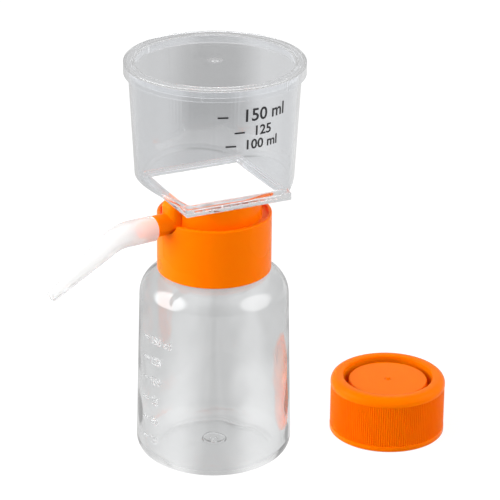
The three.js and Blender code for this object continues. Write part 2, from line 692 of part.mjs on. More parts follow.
// The origin is the middle of the whole set's outline, on the surface it stands on.
const outline = new THREE.Box3().setFromObject(group);
const middle = outline.getCenter(new THREE.Vector3());
group.position.set(-middle.x, -middle.y, 0);
group.updateMatrixWorld(true);

export default group;
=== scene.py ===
# %% [markdown]
# # A vacuum filtration unit
# Liquid is poured into a clear round funnel, pulled through a square membrane by suction at the
# side nozzle, and collected in a clear bottle. This lesson dresses the CAD solids of that set. The
# pieces that show most are drawn again with smooth curves and small moulded edges, and the plain
# solids inside keep their shape and get a finish.

# %% Load the CAD frame
import math
from collections import namedtuple

import bmesh
import bpy
from mathutils import Matrix, Vector


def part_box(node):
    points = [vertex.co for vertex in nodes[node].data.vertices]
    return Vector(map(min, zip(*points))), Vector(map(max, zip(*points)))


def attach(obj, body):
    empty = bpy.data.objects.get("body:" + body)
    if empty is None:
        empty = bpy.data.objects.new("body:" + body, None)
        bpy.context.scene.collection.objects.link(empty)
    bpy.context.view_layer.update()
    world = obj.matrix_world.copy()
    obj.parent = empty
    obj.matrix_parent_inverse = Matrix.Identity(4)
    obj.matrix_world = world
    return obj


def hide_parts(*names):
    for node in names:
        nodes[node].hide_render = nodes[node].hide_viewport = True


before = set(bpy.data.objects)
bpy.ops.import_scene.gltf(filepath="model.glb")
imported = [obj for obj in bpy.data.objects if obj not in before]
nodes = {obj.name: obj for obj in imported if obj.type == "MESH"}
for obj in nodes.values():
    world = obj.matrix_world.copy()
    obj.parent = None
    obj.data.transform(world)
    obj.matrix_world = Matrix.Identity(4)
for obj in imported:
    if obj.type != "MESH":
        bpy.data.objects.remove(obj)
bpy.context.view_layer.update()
print("solids in the frame:", sorted(nodes))

# %% [markdown]
# ## Where things stand
# The CAD gives every place in metres. Moulded parts are easier to think of in millimetres, so each
# new piece is drawn in millimetres round its own axis and is scaled into place at the end. The
# bottle and the loose cap are round, so the middle of each one's box is its axis.

# %% The two axes and the main heights
MM = 0.001


def axis_of(node):
    low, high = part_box(node)
    return Vector(((low.x + high.x) / 2, (low.y + high.y) / 2, 0))


def bottom_of(node):
    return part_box(node)[0].z / MM


def top_of(node):
    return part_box(node)[1].z / MM


bottle_axis = axis_of("receiver_bottle")
cap_axis = axis_of("storage_cap")
print("bottle axis", tuple(bottle_axis), "cap axis", tuple(cap_axis))

# %% [markdown]
# ## Drawing a section
# Almost every piece here came out of a round mould, so it is a section turned about an axis. A
# section is drawn as a chain of vertices in the XZ plane. A corner may be rounded, which the bevel
# operator does, and a large arc is made by swinging its first vertex about a centre, which the
# spin operator does. Spin then turns the whole chain into the piece.

# %% Section and turning helpers
Swing = namedtuple("Swing", "radius height degrees")

SMALL_EDGE_SEGMENTS = 3
LARGE_EDGE_SEGMENTS = 8
LARGE_ROUNDING = 1.0
SWING_SEGMENTS = 14
ROUND_STEPS = 144
SAME_PLACE = 0.0005


def bevel(bm, geom, rounding, segments=SMALL_EDGE_SEGMENTS, affect="EDGES"):
    bmesh.ops.bevel(
        bm, geom=geom, offset=rounding, segments=segments, profile=0.5, material=-1, affect=affect
    )


def corner(radius, height, rounding=0):
    """A corner of a section, rounded or not."""
    return (radius, height, rounding) if rounding else (radius, height)


def draw_section(outline):
    """Corners are (radius, height) or (radius, height, rounding). A Swing carries the last one on.

    A section that starts on the axis also ends there. Any other one is closed.
    """
    bm = bmesh.new()
    soft = {}
    first = last = None
    for place in outline:
        if isinstance(place, Swing):
            swung = bmesh.ops.spin(
                bm,
                geom=[last],
                cent=(place.radius, 0, place.height),
                axis=(0, -1, 0),
                angle=math.radians(place.degrees),
                steps=SWING_SEGMENTS,
            )
            last = next(g for g in swung["geom_last"] if isinstance(g, bmesh.types.BMVert))
            continue
        radius, height, *rounding = place
        vert = bm.verts.new((radius, 0, height))
        if last:
            bm.edges.new((last, vert))
        if rounding:
            soft.setdefault(rounding[0], []).append(vert)
        first = first or vert
        last = vert
    if outline[0][0] > 0:
        bm.edges.new((last, first))
    for rounding, corners in soft.items():
        segments = LARGE_EDGE_SEGMENTS if rounding > LARGE_ROUNDING else SMALL_EDGE_SEGMENTS
        bevel(bm, corners, rounding, segments, "VERTICES")
    return bm


def turn(outline, steps=ROUND_STEPS):
    """Spins a section a full turn and closes its seam and poles, with its faces outwards."""
    bm = draw_section(outline)
    bmesh.ops.spin(
        bm,
        geom=bm.verts[:] + bm.edges[:],
        cent=(0, 0, 0),
        axis=(0, 0, 1),
        angle=2 * math.pi,
        steps=steps,
        use_merge=True,
    )
    return tidy(bm)


def tidy(bm):
    bmesh.ops.remove_doubles(bm, verts=bm.verts, dist=SAME_PLACE)
    bmesh.ops.recalc_face_normals(bm, faces=bm.faces)
    return bm


# %% [markdown]
# ## Joining and cutting
# Ports, windows and threads are joined to a turned body, or cut out of it. The Boolean modifier
# with its exact solver does that on two closed shapes. Its result is read back as a mesh, so the
# finished piece carries no live modifier.


# %% Boolean helpers
ROD_STEPS = 64


def to_mesh(bm, name):
    mesh = bpy.data.meshes.new(name)
    bm.to_mesh(mesh)
    bm.free()
    return mesh


def add_object(name, data):
    thing = bpy.data.objects.new(name, data)
    bpy.context.scene.collection.objects.link(thing)
    return thing


def combine(bm, operation, tools):
    for tool in tools:
        shapes = [add_object("shape", to_mesh(shape, "shape")) for shape in (bm, tool)]
        modifier = shapes[0].modifiers.new("combine", "BOOLEAN")
        modifier.operation = operation
        modifier.solver = "EXACT"
        modifier.object = shapes[1]
        bm = bmesh.new()
        bm.from_object(shapes[0], bpy.context.evaluated_depsgraph_get())
        for shape in shapes:
            mesh = shape.data
            bpy.data.objects.remove(shape)
            bpy.data.meshes.remove(mesh)
        bmesh.ops.dissolve_degenerate(bm, dist=SAME_PLACE, edges=bm.edges)
    return bm


def join(bm, *tools):
    """The shape with other closed shapes joined on."""
    return combine(bm, "UNION", tools)


def cut(bm, *tools):
    """The shape with other closed shapes taken away."""
    return combine(bm, "DIFFERENCE", tools)


def move(bm, *steps):
    """Applies turns and shifts to the whole shape, the first one first."""
    for step in steps:
        bmesh.ops.transform(bm, matrix=step, verts=bm.verts)
    return bm


def spun(degrees, axis="Z"):
    return Matrix.Rotation(math.radians(degrees), 4, axis)


def shifted(x, y, z):
    return Matrix.Translation((x, y, z))


def block(x, y, z, rounding=0):
    """A box between the given pairs of limits, its edges rounded."""
    bm = bmesh.new()
    bmesh.ops.create_cube(bm, size=1)
    size = [high - low for low, high in (x, y, z)]
    middle = [(high + low) / 2 for low, high in (x, y, z)]
    bmesh.ops.scale(bm, vec=size, verts=bm.verts)
    bmesh.ops.translate(bm, vec=middle, verts=bm.verts)
    if rounding:
        bevel(bm, bm.edges[:], rounding)
    return bm


def round_bar(radius, start, end, start_round=0, end_round=0, steps=ROD_STEPS):
    """An upright solid bar about the Z axis, its end edges rounded."""
    edges = [corner(radius, start, start_round), corner(radius, end, end_round)]
    return turn([(0, start), *edges, (0, end)], steps)


def rod(radius, start, end, height, end_round=0):
    """A round rod that runs out along +X at a height above the floor."""
    bm = round_bar(radius, start, end, end_round=end_round)
    return move(bm, spun(90, "Y"), shifted(0, 0, height))


# %% [markdown]
# ## Handing a piece over
# A finished piece is scaled to metres and moved to its axis inside its mesh, so that its object
# stays at the origin as the CAD solids do. It then rides on its body, takes its material slot, and
# stands for the CAD solids that it replaces. Round walls are shaded smooth and only real corners
# stay sharp. A small rounded edge must not tilt the shading of the long wall beside it, because
# clear plastic would then bend light like a prism. The weighted normal modifier gives the large
# faces their own direction, and the mesh is read back with that shading in it.

# %% Hand-over helper
SHARP_ABOVE = 32


def hand_over(bm, name, material, body, replaced=(), axis=bottle_axis):
    move(bm, Matrix.Scale(MM, 4), Matrix.Translation(axis))
    mesh = to_mesh(bm, name)
    mesh.materials.append(material)
    mesh.shade_smooth()
    mesh.set_sharp_from_angle(angle=math.radians(SHARP_ABOVE))
    piece = add_object(name, mesh)
    even = piece.modifiers.new("even shading", "WEIGHTED_NORMAL")
    even.keep_sharp = True
    graph = bpy.context.evaluated_depsgraph_get()
    piece.data = bpy.data.meshes.new_from_object(piece.evaluated_get(graph))
    piece.modifiers.clear()
    bpy.data.meshes.remove(mesh)
    mesh = piece.data
    mesh.name = name
    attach(piece, body)
    if replaced:
        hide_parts(*replaced)
    print(f"{name}: {len(mesh.polygons)} faces, {piece.dimensions.z / MM:.1f} mm high")


# %% [markdown]
# ## What moulded plastic looks like close up
# A moulded wall is never a perfect mirror. It has a fine grain from the steel, and long soft waves
# from the way the melt flowed. Clear and coloured pieces both show this, so it is one node group
# with its own values in each material. It gives a roughness and a height for a Bump node.


# %% Node helpers
def feed(tree, node, values):
    """Fills sockets by name. Another node's socket is linked, a plain value is typed in."""
    for label, value in values.items():
        if isinstance(value, bpy.types.NodeSocket):
            tree.links.new(value, node.inputs[label])
        else:
            node.inputs[label].default_value = value


def node_group(name, inputs, outputs):
    group = bpy.data.node_groups.new(name, "ShaderNodeTree")
    for label, kind, value in inputs:
        socket = group.interface.new_socket(label, in_out="INPUT", socket_type=kind)
        if value is not None:
            socket.default_value = value
    for label, kind in outputs:
        group.interface.new_socket(label, in_out="OUTPUT", socket_type=kind)
    return group, group.nodes.new("NodeGroupInput"), group.nodes.new("NodeGroupOutput")


def noise(tree, vector, scale, detail=2.0):
    node = tree.nodes.new("ShaderNodeTexNoise")
    feed(tree, node, {"Detail": detail, "Vector": vector, "Scale": scale})
    return node.outputs["Fac"]


def math_node(tree, operation, first, second=0.0):
    node = tree.nodes.new("ShaderNodeMath")
    node.operation = operation
    feed(tree, node, {0: first, 1: second})
    return node.outputs["Value"]


def spread(tree, value, limits, results, change="SMOOTHSTEP"):
    """A change from one result to the other between two limits of a value."""
    node = tree.nodes.new("ShaderNodeMapRange")
    node.interpolation_type = change
    labels = ("From Min", "From Max", "To Min", "To Max")
    feed(tree, node, {"Value": value, **dict(zip(labels, (*limits, *results)))})
    return node.outputs["Result"]


def object_place(tree):
    """Where a point is, in the frame of its own piece."""
    return tree.nodes.new("ShaderNodeTexCoord").outputs["Object"]


# %% The moulded skin group
GRAIN_SCALE = 2600.0
FLOW_SCALE = 45.0
FLOW_SPREAD = 0.15

moulded_skin, skin_in, skin_out = node_group(
    "moulded skin",
    [
        ("Vector", "NodeSocketVector", None),
        ("Grain", "NodeSocketFloat", 0.3),
        ("Flow", "NodeSocketFloat", 1.0),
        ("Smooth Roughness", "NodeSocketFloat", 0.05),
        ("Dull Roughness", "NodeSocketFloat", 0.12),
    ],
    [("Roughness", "NodeSocketFloat"), ("Height", "NodeSocketFloat")],
)
grain = noise(moulded_skin, skin_in.outputs["Vector"], GRAIN_SCALE)
flow = noise(moulded_skin, skin_in.outputs["Vector"], FLOW_SCALE, 1.0)
flow_limits = (0.5 - FLOW_SPREAD, 0.5 + FLOW_SPREAD)
gloss_limits = (skin_in.outputs["Smooth Roughness"], skin_in.outputs["Dull Roughness"])
dullness = spread(moulded_skin, flow, flow_limits, gloss_limits, "LINEAR")
fine = math_node(moulded_skin, "MULTIPLY", grain, skin_in.outputs["Grain"])
waves = math_node(moulded_skin, "MULTIPLY", flow, skin_in.outputs["Flow"])
relief = math_node(moulded_skin, "ADD", fine, waves)
feed(moulded_skin, skin_out, {"Roughness": dullness, "Height": relief})
print("node group:", moulded_skin.name)

# %% [markdown]
# Plastic also drifts a little in tone where its pigment mixed unevenly. A second group mixes two
# close colours by a soft noise. Every plastic here uses it, and the tints of the clear ones hardly
# differ.

# %% The tone drift group
tone_drift, drift_in, drift_out = node_group(
    "tone drift",
    [
        ("Vector", "NodeSocketVector", None),
        ("Scale", "NodeSocketFloat", 60.0),
        ("Colour", "NodeSocketColor", (1, 1, 1, 1)),
        ("Other Colour", "NodeSocketColor", (1, 1, 1, 1)),
    ],
    [("Colour", "NodeSocketColor")],
)
drift = noise(tone_drift, drift_in.outputs["Vector"], drift_in.outputs["Scale"], 3.0)
blend_tones = tone_drift.nodes.new("ShaderNodeMix")
blend_tones.data_type = "RGBA"
colour_sockets = [socket for socket in blend_tones.inputs if socket.type == "RGBA"]
tone_drift.links.new(drift, blend_tones.inputs["Factor"])
tone_drift.links.new(drift_in.outputs["Colour"], colour_sockets[0])
tone_drift.links.new(drift_in.outputs["Other Colour"], colour_sockets[1])
blended = next(socket for socket in blend_tones.outputs if socket.type == "RGBA")
tone_drift.links.new(blended, drift_out.inputs["Colour"])
print("node group:", tone_drift.name)

# %% [markdown]
# One helper places both groups in a new material. The plastics then differ only in their colours,
# their range of roughness and the height of their relief.


# %% A material with the moulded skin
def use_group(tree, group, values):
    node = tree.nodes.new("ShaderNodeGroup")
    node.node_tree = group
    feed(tree, node, values)
    return node


def finish(material, values):
    """Fills sockets of the material's Principled surface."""
    tree = material.node_tree
    feed(tree, tree.nodes["Principled BSDF"], values)


def plastic(name, colours, gloss, bump, grain=0.0, flow=1.0, drift=60.0):
    """A Principled material that drifts between two linear colours and has a moulded skin.

    Gloss is the roughness of its smooth and of its dull spots. Bump is the relief in millimetres,
    and grain and flow are its shares.
    """
    material = bpy.data.materials.new(name)
    material.use_nodes = True
    tree = material.node_tree
    place = object_place(tree)
    tones = dict(zip(("Colour", "Other Colour"), [(*colour, 1) for colour in colours]))
    tones = use_group(tree, tone_drift, {"Vector": place, "Scale": drift, **tones})
    spots = dict(zip(("Smooth Roughness", "Dull Roughness"), gloss))
    waves = {"Grain": grain, "Flow": flow}
    skin = use_group(tree, moulded_skin, {"Vector": place, **waves, **spots})
    relief = tree.nodes.new("ShaderNodeBump")
    heights = {"Strength": 1.0, "Distance": bump * MM, "Height": skin.outputs["Height"]}
    feed(tree, relief, heights)
    look = {"Roughness": skin.outputs["Roughness"], "Normal": relief.outputs["Normal"]}
    finish(material, {"Base Color": tones.outputs["Colour"], **look})
    return material


# %% [markdown]
# ## Clear plastic
# The funnel, its lid and the bottle are clear styrene, which bends light a little more than glass
# does and has a faint cool tint. It is a Principled surface with full transmission. The walls are
# real closed walls, so light bends on the way in and again on the way out.

# %% Clear plastics
STYRENE_IOR = 1.57
BOTTLE_TINTS = ((0.955, 0.962, 0.965), (0.97, 0.975, 0.978))
FUNNEL_TINTS = ((0.93, 0.94, 0.955), (0.95, 0.958, 0.968))
LID_TINTS = ((0.953, 0.959, 0.968), (0.965, 0.97, 0.977))
MARK_TINTS = ((0.97, 0.975, 0.98), (0.98, 0.985, 0.988))

clear_bottle = plastic("clear_bottle", BOTTLE_TINTS, gloss=(0.015, 0.05), bump=0.55)
clear_funnel = plastic("clear_funnel", FUNNEL_TINTS, gloss=(0.01, 0.04), bump=0.12)
clear_lid = plastic("clear_lid", LID_TINTS, gloss=(0.01, 0.04), bump=0.12)
clear_marks = plastic("clear_marks", MARK_TINTS, gloss=(0.2, 0.35), bump=0.1)
for material in (clear_bottle, clear_funnel, clear_lid, clear_marks):
    finish(material, {"Transmission Weight": 1.0, "IOR": STYRENE_IOR})
print("clear plastics refract by", STYRENE_IOR)

# %% [markdown]
# The bottle is blown, so the inside of its wall waves differently from the outside. Light that
# reaches a surface from within the plastic sees the same noise at another place.

# %% Uneven inside of the bottle
INSIDE_SHIFT = 0.4
tree = clear_bottle.node_tree
groups = [node for node in tree.nodes if node.type == "GROUP"]
bottle_skin = next(node for node in groups if node.node_tree == moulded_skin)
inside = tree.nodes.new("ShaderNodeNewGeometry").outputs["Backfacing"]
moved_in = tree.nodes.new("ShaderNodeVectorMath")
moved_in.operation = "MULTIPLY_ADD"
feed(tree, moved_in, {0: inside, 1: (INSIDE_SHIFT,) * 3, 2: object_place(tree)})
feed(tree, bottle_skin, {"Vector": moved_in.outputs["Vector"]})
print("bottle wall waves on both sides")

# %% [markdown]
# Solid glass throws a dark shadow in a path tracer, because light that bends through it is hard to
# find. Thin clear walls hardly shade what is behind them, so the surface lets shadow rays and matt
# light straight through by its Alpha. A path that has mirrored inside the rims many times is cut
# off by the renderer and would end black, so the surface gives it a painted white glow by emission
# instead, which stands in for the white of the room. A path that has mirrored more than a few
# times gets a share of this painted glow as well.

# %% Light through clear plastic, and a painted glow
WALL_SHADE = 0.05
DEEP_BOUNCE = 9
DEEP_MIRRORS = 4


# The Alpha lets soft light through, and the emission is a painted white glow on long paths.
def pass_light_with_painted_glow(material, mirror_share, painted_glow_strength=0.8):
    tree = material.node_tree
    path = tree.nodes.new("ShaderNodeLightPath").outputs
    soft = math_node(tree, "MAXIMUM", path["Is Shadow Ray"], path["Is Diffuse Ray"])
    let_by = math_node(tree, "MULTIPLY", soft, 1 - WALL_SHADE)
    deep = math_node(tree, "COMPARE", path["Ray Depth"], DEEP_BOUNCE)
    mirrored = math_node(tree, "COMPARE", path["Glossy Depth"], DEEP_MIRRORS)
    mirrored = math_node(tree, "MULTIPLY", mirrored, mirror_share)
    painted_glow = math_node(tree, "MAXIMUM", deep, mirrored)
    alpha = math_node(tree, "SUBTRACT", 1.0, let_by)
    finish(material, {"Alpha": alpha, "Emission Color": painted_glow, "Emission Strength": painted_glow_strength})


pass_light_with_painted_glow(clear_bottle, 0.35)
pass_light_with_painted_glow(clear_funnel, 0.8)
pass_light_with_painted_glow(clear_lid, 0.65, 0.75)
pass_light_with_painted_glow(clear_marks, 0.35)
print("clear walls hold back", WALL_SHADE, "of soft light")

# %% [markdown]
# ## Orange plastic
# The collar and the loose cap are an opaque orange with a satin skin. Both have the same colour,
# and the cap is a little glossier.

# %% Orange plastics
ORANGES = ((0.97, 0.19, 0.0), (0.95, 0.172, 0.0))
SATIN_IOR = 1.46
SATIN_LEVEL = 0.1
SATIN_TINT = (1.0, 0.45, 0.08, 1.0)
ORANGE_GLOW = 0.3
ORANGE_GLOW_RADIUS = (1.0, 0.25, 0.05)
ORANGE_GLOW_DEPTH = 2.0


def soak(material, weight, radius, depth):
    """Lets light soak into the material, by a depth in millimetres."""
    depths = {"Subsurface Radius": radius, "Subsurface Scale": depth * MM}
    finish(material, {"Subsurface Weight": weight, **depths})


orange_adapter = plastic("orange_adapter", ORANGES, gloss=(0.24, 0.3), bump=0.05, grain=0.25)
orange_cap = plastic("orange_cap", ORANGES, gloss=(0.13, 0.19), bump=0.05, grain=0.35)
satin = {"IOR": SATIN_IOR, "Specular IOR Level": SATIN_LEVEL, "Specular Tint": SATIN_TINT}
for material in (orange_adapter, orange_cap):
    finish(material, satin)
    soak(material, ORANGE_GLOW, ORANGE_GLOW_RADIUS, ORANGE_GLOW_DEPTH)
print("orange plastics reflect as", SATIN_IOR)

# %% [markdown]
# ## Small parts
# The hose connector is a milky plastic that lets the nozzle's stub glow through, so it is part
# transmission and part soft white, and it passes soft light as the clear plastics do, with the
# same painted white glow on long paths. The membrane is a matt white sheet of fine pores that lets
# light soak through, the plug in the nozzle is coarser and porous, and the gasket is soft rubber.

# %% Milky, matt and soft finishes
WHITES = ((0.97, 0.97, 0.965), (0.99, 0.99, 0.985))
PLUG_GREYS = ((0.86, 0.86, 0.82), (0.93, 0.93, 0.9))
RUBBER_TANS = ((0.7, 0.67, 0.58), (0.76, 0.73, 0.64))
INK_BLACKS = ((0.006, 0.006, 0.008), (0.012, 0.012, 0.014))
MILK_CLEARNESS = 0.62
MILK_IOR = 1.2
PORE_SCALE = 300.0
PLUG_PORE_SCALE = 900.0

milky_connector = plastic("milky_connector", WHITES, (0.2, 0.26), bump=0.04, grain=0.2)
finish(milky_connector, {"Transmission Weight": MILK_CLEARNESS, "IOR": MILK_IOR})
soak(milky_connector, 0.9, (1, 0.97, 0.94), 3.0)
pass_light_with_painted_glow(milky_connector, 0.7)
white_membrane = plastic(
    "white_membrane", WHITES, (0.85, 0.95), bump=0.04, grain=1.0, flow=0.2, drift=PORE_SCALE
)
soak(white_membrane, 0.6, (1, 1, 1), 0.8)
porous_plug = plastic(
    "porous_plug", PLUG_GREYS, (0.8, 0.95), bump=0.15, grain=1.0, flow=0.4, drift=PLUG_PORE_SCALE
)
soft_gasket = plastic("soft_gasket", RUBBER_TANS, (0.55, 0.7), bump=0.05, grain=0.6, flow=0.5)
black_ink = plastic("black_ink", INK_BLACKS, (0.3, 0.4), bump=0.01, grain=0.4, flow=0.4)
kept_solids = {
    "filter_membrane": white_membrane,
    "port_plug": porous_plug,
    "neck_gasket": soft_gasket,
}
for node, material in kept_solids.items():
    nodes[node].data.materials.clear()
    nodes[node].data.materials.append(material)
print("solids that keep their shape:", sorted(kept_solids))

# %% [markdown]
# ## Screw threads
# A thread is a small ridge that climbs as it goes round. Spin does this when each step also lifts.
# The ridge is drawn as one face, spun up the wall, and faded into the wall at both ends.

# %% Thread helper
THREAD_PITCH = 4.0
THREAD_TURNS = 1.75
THREAD_DEPTH = 1.0
THREAD_ROOT_SINK = 0.4
THREAD_ROOT_HALF = 0.75
THREAD_CREST_HALF = 0.4
THREAD_FADE = 0.12
THREAD_LEAST = 0.1
THREAD_STEPS = 96


def thread(root, crest, start):
    """A ridge from root to crest, in closed form, ready to be joined to its wall."""
    sunk = root - math.copysign(THREAD_ROOT_SINK, crest - root)
    bm = bmesh.new()
    ridge = [
        (sunk, -THREAD_ROOT_HALF),
        (crest, -THREAD_CREST_HALF),
        (crest, THREAD_CREST_HALF),
        (sunk, THREAD_ROOT_HALF),
    ]
    face = bm.faces.new([bm.verts.new((radius, 0, start + rise)) for radius, rise in ridge])
    bmesh.ops.spin(
        bm,
        geom=[face],
        cent=(0, 0, 0),
        axis=(0, 0, 1),
        dvec=(0, 0, THREAD_PITCH / THREAD_STEPS),
        angle=2 * math.pi * THREAD_TURNS,
        steps=round(THREAD_TURNS * THREAD_STEPS),
    )
    for vert in bm.verts:
        radius = math.hypot(vert.co.x, vert.co.y)
        climbed = (vert.co.z - start) / THREAD_PITCH
        left = min(max(min(climbed, THREAD_TURNS - climbed) / THREAD_FADE, THREAD_LEAST), 1)
        if abs(radius - crest) < abs(radius - sunk) and left < 1:
            wanted = sunk + (crest - sunk) * left
            vert.co.xy *= wanted / radius
    bmesh.ops.recalc_face_normals(bm, faces=bm.faces)
    return bm


# %% [markdown]
# ## The receiver bottle
# The bottle tapers slightly from its base up to a round shoulder. Its base is pushed up in a
# shallow dome with a small ring and a nub in the middle, where the plastic entered the mould. The
# whole wall is one section: up the outside, over the neck's rim and down the inside. The heel is a
# little thicker than the wall, because its inner curve is wider than an even wall would give, and
# so it draws bright arcs in the base.

# %% Bottle body and neck thread
BASE_RADIUS = 34.4
SHOULDER_RADIUS = 32.8
SHOULDER_HEIGHT = 75.7
BASE_FILLET = 7.5
BOTTLE_WALL = 1.3
HEEL_CENTRE = 26.4
HEEL_HEIGHT = 8.0
FOOT_RADIUS = BASE_RADIUS - BASE_FILLET
FOOT_WIDTH = 1.5
DOME_EDGE = FOOT_RADIUS - FOOT_WIDTH
DOME_RISE = 3.4
DOME_RADIUS = (DOME_EDGE**2 + DOME_RISE**2) / (2 * DOME_RISE)
DOME_CENTRE = DOME_RISE - DOME_RADIUS
GATE_RING = 5.3
GATE_RISE = 0.7
NECK_RADIUS = 21.5
NECK_BORE = 20.2
NECK_EDGE = 0.35
NECK_THREAD_DOWN = 13
SHOULDER_CENTRE = 20.8
neck_top = top_of("receiver_bottle")
shoulder_fillet = SHOULDER_RADIUS - SHOULDER_CENTRE


def dome_angle(radius, sphere=DOME_RADIUS):
    return math.degrees(math.asin(radius / sphere))


def dome_height(radius, sphere=DOME_RADIUS):
    return DOME_CENTRE + math.sqrt(sphere**2 - radius**2)


inner_sphere = DOME_RADIUS + BOTTLE_WALL
inner_edge = HEEL_CENTRE - 0.6
inner_gate = DOME_RISE + BOTTLE_WALL + 0.4
inner_swing = dome_angle(inner_edge, inner_sphere) - dome_angle(GATE_RING, inner_sphere)
inner_shoulder = shoulder_fillet - BOTTLE_WALL
neck_arc = math.degrees(math.acos((NECK_RADIUS - SHOULDER_CENTRE) / shoulder_fillet))
bottle_section = [
    (0, DOME_RISE + 0.1),
    (1.1, DOME_RISE + 0.1, 0.3),
    (1.5, DOME_RISE + GATE_RISE, 0.2),
    (GATE_RING - 0.6, DOME_RISE + GATE_RISE, 0.3),
    (GATE_RING, dome_height(GATE_RING)),
    Swing(0, DOME_CENTRE, dome_angle(GATE_RING) - dome_angle(DOME_EDGE)),
    (FOOT_RADIUS, 0),
    Swing(FOOT_RADIUS, BASE_FILLET, 90),
    (SHOULDER_RADIUS, SHOULDER_HEIGHT),
    Swing(SHOULDER_CENTRE, SHOULDER_HEIGHT, neck_arc),
    (NECK_RADIUS, neck_top, NECK_EDGE),
    (NECK_BORE, neck_top, NECK_EDGE),
    (NECK_BORE, SHOULDER_HEIGHT + inner_shoulder),
    (SHOULDER_CENTRE, SHOULDER_HEIGHT + inner_shoulder),
    Swing(SHOULDER_CENTRE, SHOULDER_HEIGHT, -90),
    (BASE_RADIUS - BOTTLE_WALL, HEEL_HEIGHT),
    Swing(HEEL_CENTRE, HEEL_HEIGHT, -90),
    (inner_edge, dome_height(inner_edge, inner_sphere)),
    Swing(0, DOME_CENTRE, inner_swing),
    (GATE_RING - 0.8, inner_gate, 0.3),
    (0, inner_gate),
]
bottle = turn(bottle_section)
neck_thread = thread(NECK_RADIUS, NECK_RADIUS + THREAD_DEPTH, neck_top - NECK_THREAD_DOWN)
bottle = join(bottle, neck_thread)
hand_over(bottle, "bottle_body", clear_bottle, "bottle", ["receiver_bottle"])

# %% [markdown]
# ## Wrapping marks round a wall
# Numbers and ticks are text objects made into meshes. They are drawn flat, then every vertex is
# carried onto the round wall: its distance along the line becomes an angle, and its height stays.


# %% Lettering helpers
LETTER_STEPS = 3


def flat_words(words, size, thickness, bolder=0.0):
    """Plain lettering as a bmesh in millimetres, facing +Z, centred on its origin."""
    curve = bpy.data.curves.new("words", "FONT")
    curve.body = words
    curve.size = size
    curve.align_x = "CENTER"
    curve.align_y = "CENTER"
    curve.extrude = thickness / 2
    curve.offset = bolder
    curve.resolution_u = LETTER_STEPS
    lettering = add_object("words", curve)
    graph = bpy.context.evaluated_depsgraph_get()
    mesh = bpy.data.meshes.new_from_object(lettering.evaluated_get(graph))
    bm = bmesh.new()
    bm.from_mesh(mesh)
    bpy.data.meshes.remove(mesh)
    bpy.data.objects.remove(lettering)
    bpy.data.curves.remove(curve)
    bmesh.ops.remove_doubles(bm, verts=bm.verts, dist=SAME_PLACE)
    return bm


def gather(shapes):
    """Several bmeshes in one."""
    whole = bmesh.new()
    for shape in shapes:
        mesh = to_mesh(shape, "part")
        whole.from_mesh(mesh)
        bpy.data.meshes.remove(mesh)
    return whole


def wrap(bm, radius_at, degrees):
    """Carries a flat drawing (x along, y up, z out) onto a round wall, centred at an angle."""
    for vert in bm.verts:
        x, height, out = vert.co
        radius = radius_at(height) + out
        angle = math.radians(degrees) + x / radius_at(height)
        vert.co = (radius * math.cos(angle), radius * math.sin(angle), height)
    return bm


# %% [markdown]
# ## The bottle's raised scale
# A column of raised numbers and short bars on the side of the bottle tells how full it is. They
# are moulded in the same clear plastic, and their skin is a little duller, so they show as pale
# glints.

# %% Raised scale
SCALE_ANGLE = 217
SCALE_RAISE = 0.35
SCALE_FIGURES = 4.6
SCALE_UNIT = 4.2
MARK_BOLDER = 0.08
BAR_REACH = (-6.5, -2.5)
BAR_HALF = 0.3


def bottle_radius(height):
    narrowing = (SHOULDER_RADIUS - BASE_RADIUS) * (height - BASE_FILLET)
    return BASE_RADIUS + narrowing / (SHOULDER_HEIGHT - BASE_FILLET)


scale_rows = [("150", 61.5), ("125", 51.8), ("100", 42.2), ("75", 32.6), ("50", 23), ("25", 14)]
marks = []
for label, height in scale_rows:
    figures = flat_words(label, SCALE_FIGURES, 2 * SCALE_RAISE, MARK_BOLDER)
    bar = block(BAR_REACH, (-BAR_HALF, BAR_HALF), (-SCALE_RAISE, SCALE_RAISE))
    marks.append(move(figures, shifted(2.5, height, 0)))
    marks.append(move(bar, shifted(0, height, 0)))
unit = flat_words("ml", SCALE_UNIT, 2 * SCALE_RAISE, MARK_BOLDER)
marks.append(move(unit, shifted(9.5, scale_rows[0][1], 0)))
raised_scale = wrap(gather(marks), bottle_radius, SCALE_ANGLE)
hand_over(raised_scale, "bottle_scale", clear_marks, "bottle")

# %% [markdown]
# ## The vacuum adapter
# The orange collar screws onto the neck. Its deck carries a round hub that holds the filter, and a
# hump on the hub covers the channel out to the suction nozzle. The collar and hub are one turned
# section. A round-bottomed slot is cut through the rim for the nozzle, the nozzle and its hump are
# joined on, and the bore and the vent holes are drilled last.

# %% Adapter
COLLAR_RADIUS = 25.0
COLLAR_BORE = 23.0
HUB_RADIUS = 20.4
HUB_BORE = 18.6
COLLAR_HEIGHT = 26.4
RIM_BORE = 23.4
RIM_DEPTH = 1.5
DECK_GAP = 1.8
DECK = 2.0
SPOUT_HOLE = 4.9
NOZZLE_ANGLE = 213
NOZZLE_RADIUS = 5.3
NOZZLE_UNDER = 4.2
NOZZLE_ROOT = 19.5
NOZZLE_REACH = 30.7
NOZZLE_DOWN = 1.6
NOZZLE_EDGE = 0.3
STUB_RADIUS = 3.6
STUB_END = 37.9
STUB_EDGE = 0.8
NOZZLE_BORE = 2.6
VENT = 3.1
VENT_CIRCLE = 11.75
VENT_STEPS = 32
HUMP_REACH = 24.8
HUMP_ROUND = 3.6
NOTCH_RADIUS = 8.3
NOTCH_SAG = 5.2
NOTCH_REACH = (21.4, 26)
COLLAR_THREAD_DOWN = 11
collar_bottom = bottom_of("vacuum_adapter")
collar_top = collar_bottom + COLLAR_HEIGHT
hub_top = top_of("vacuum_adapter")
deck_bottom = neck_top + DECK_GAP
deck_top = deck_bottom + DECK
nozzle_height = collar_top - NOZZLE_DOWN
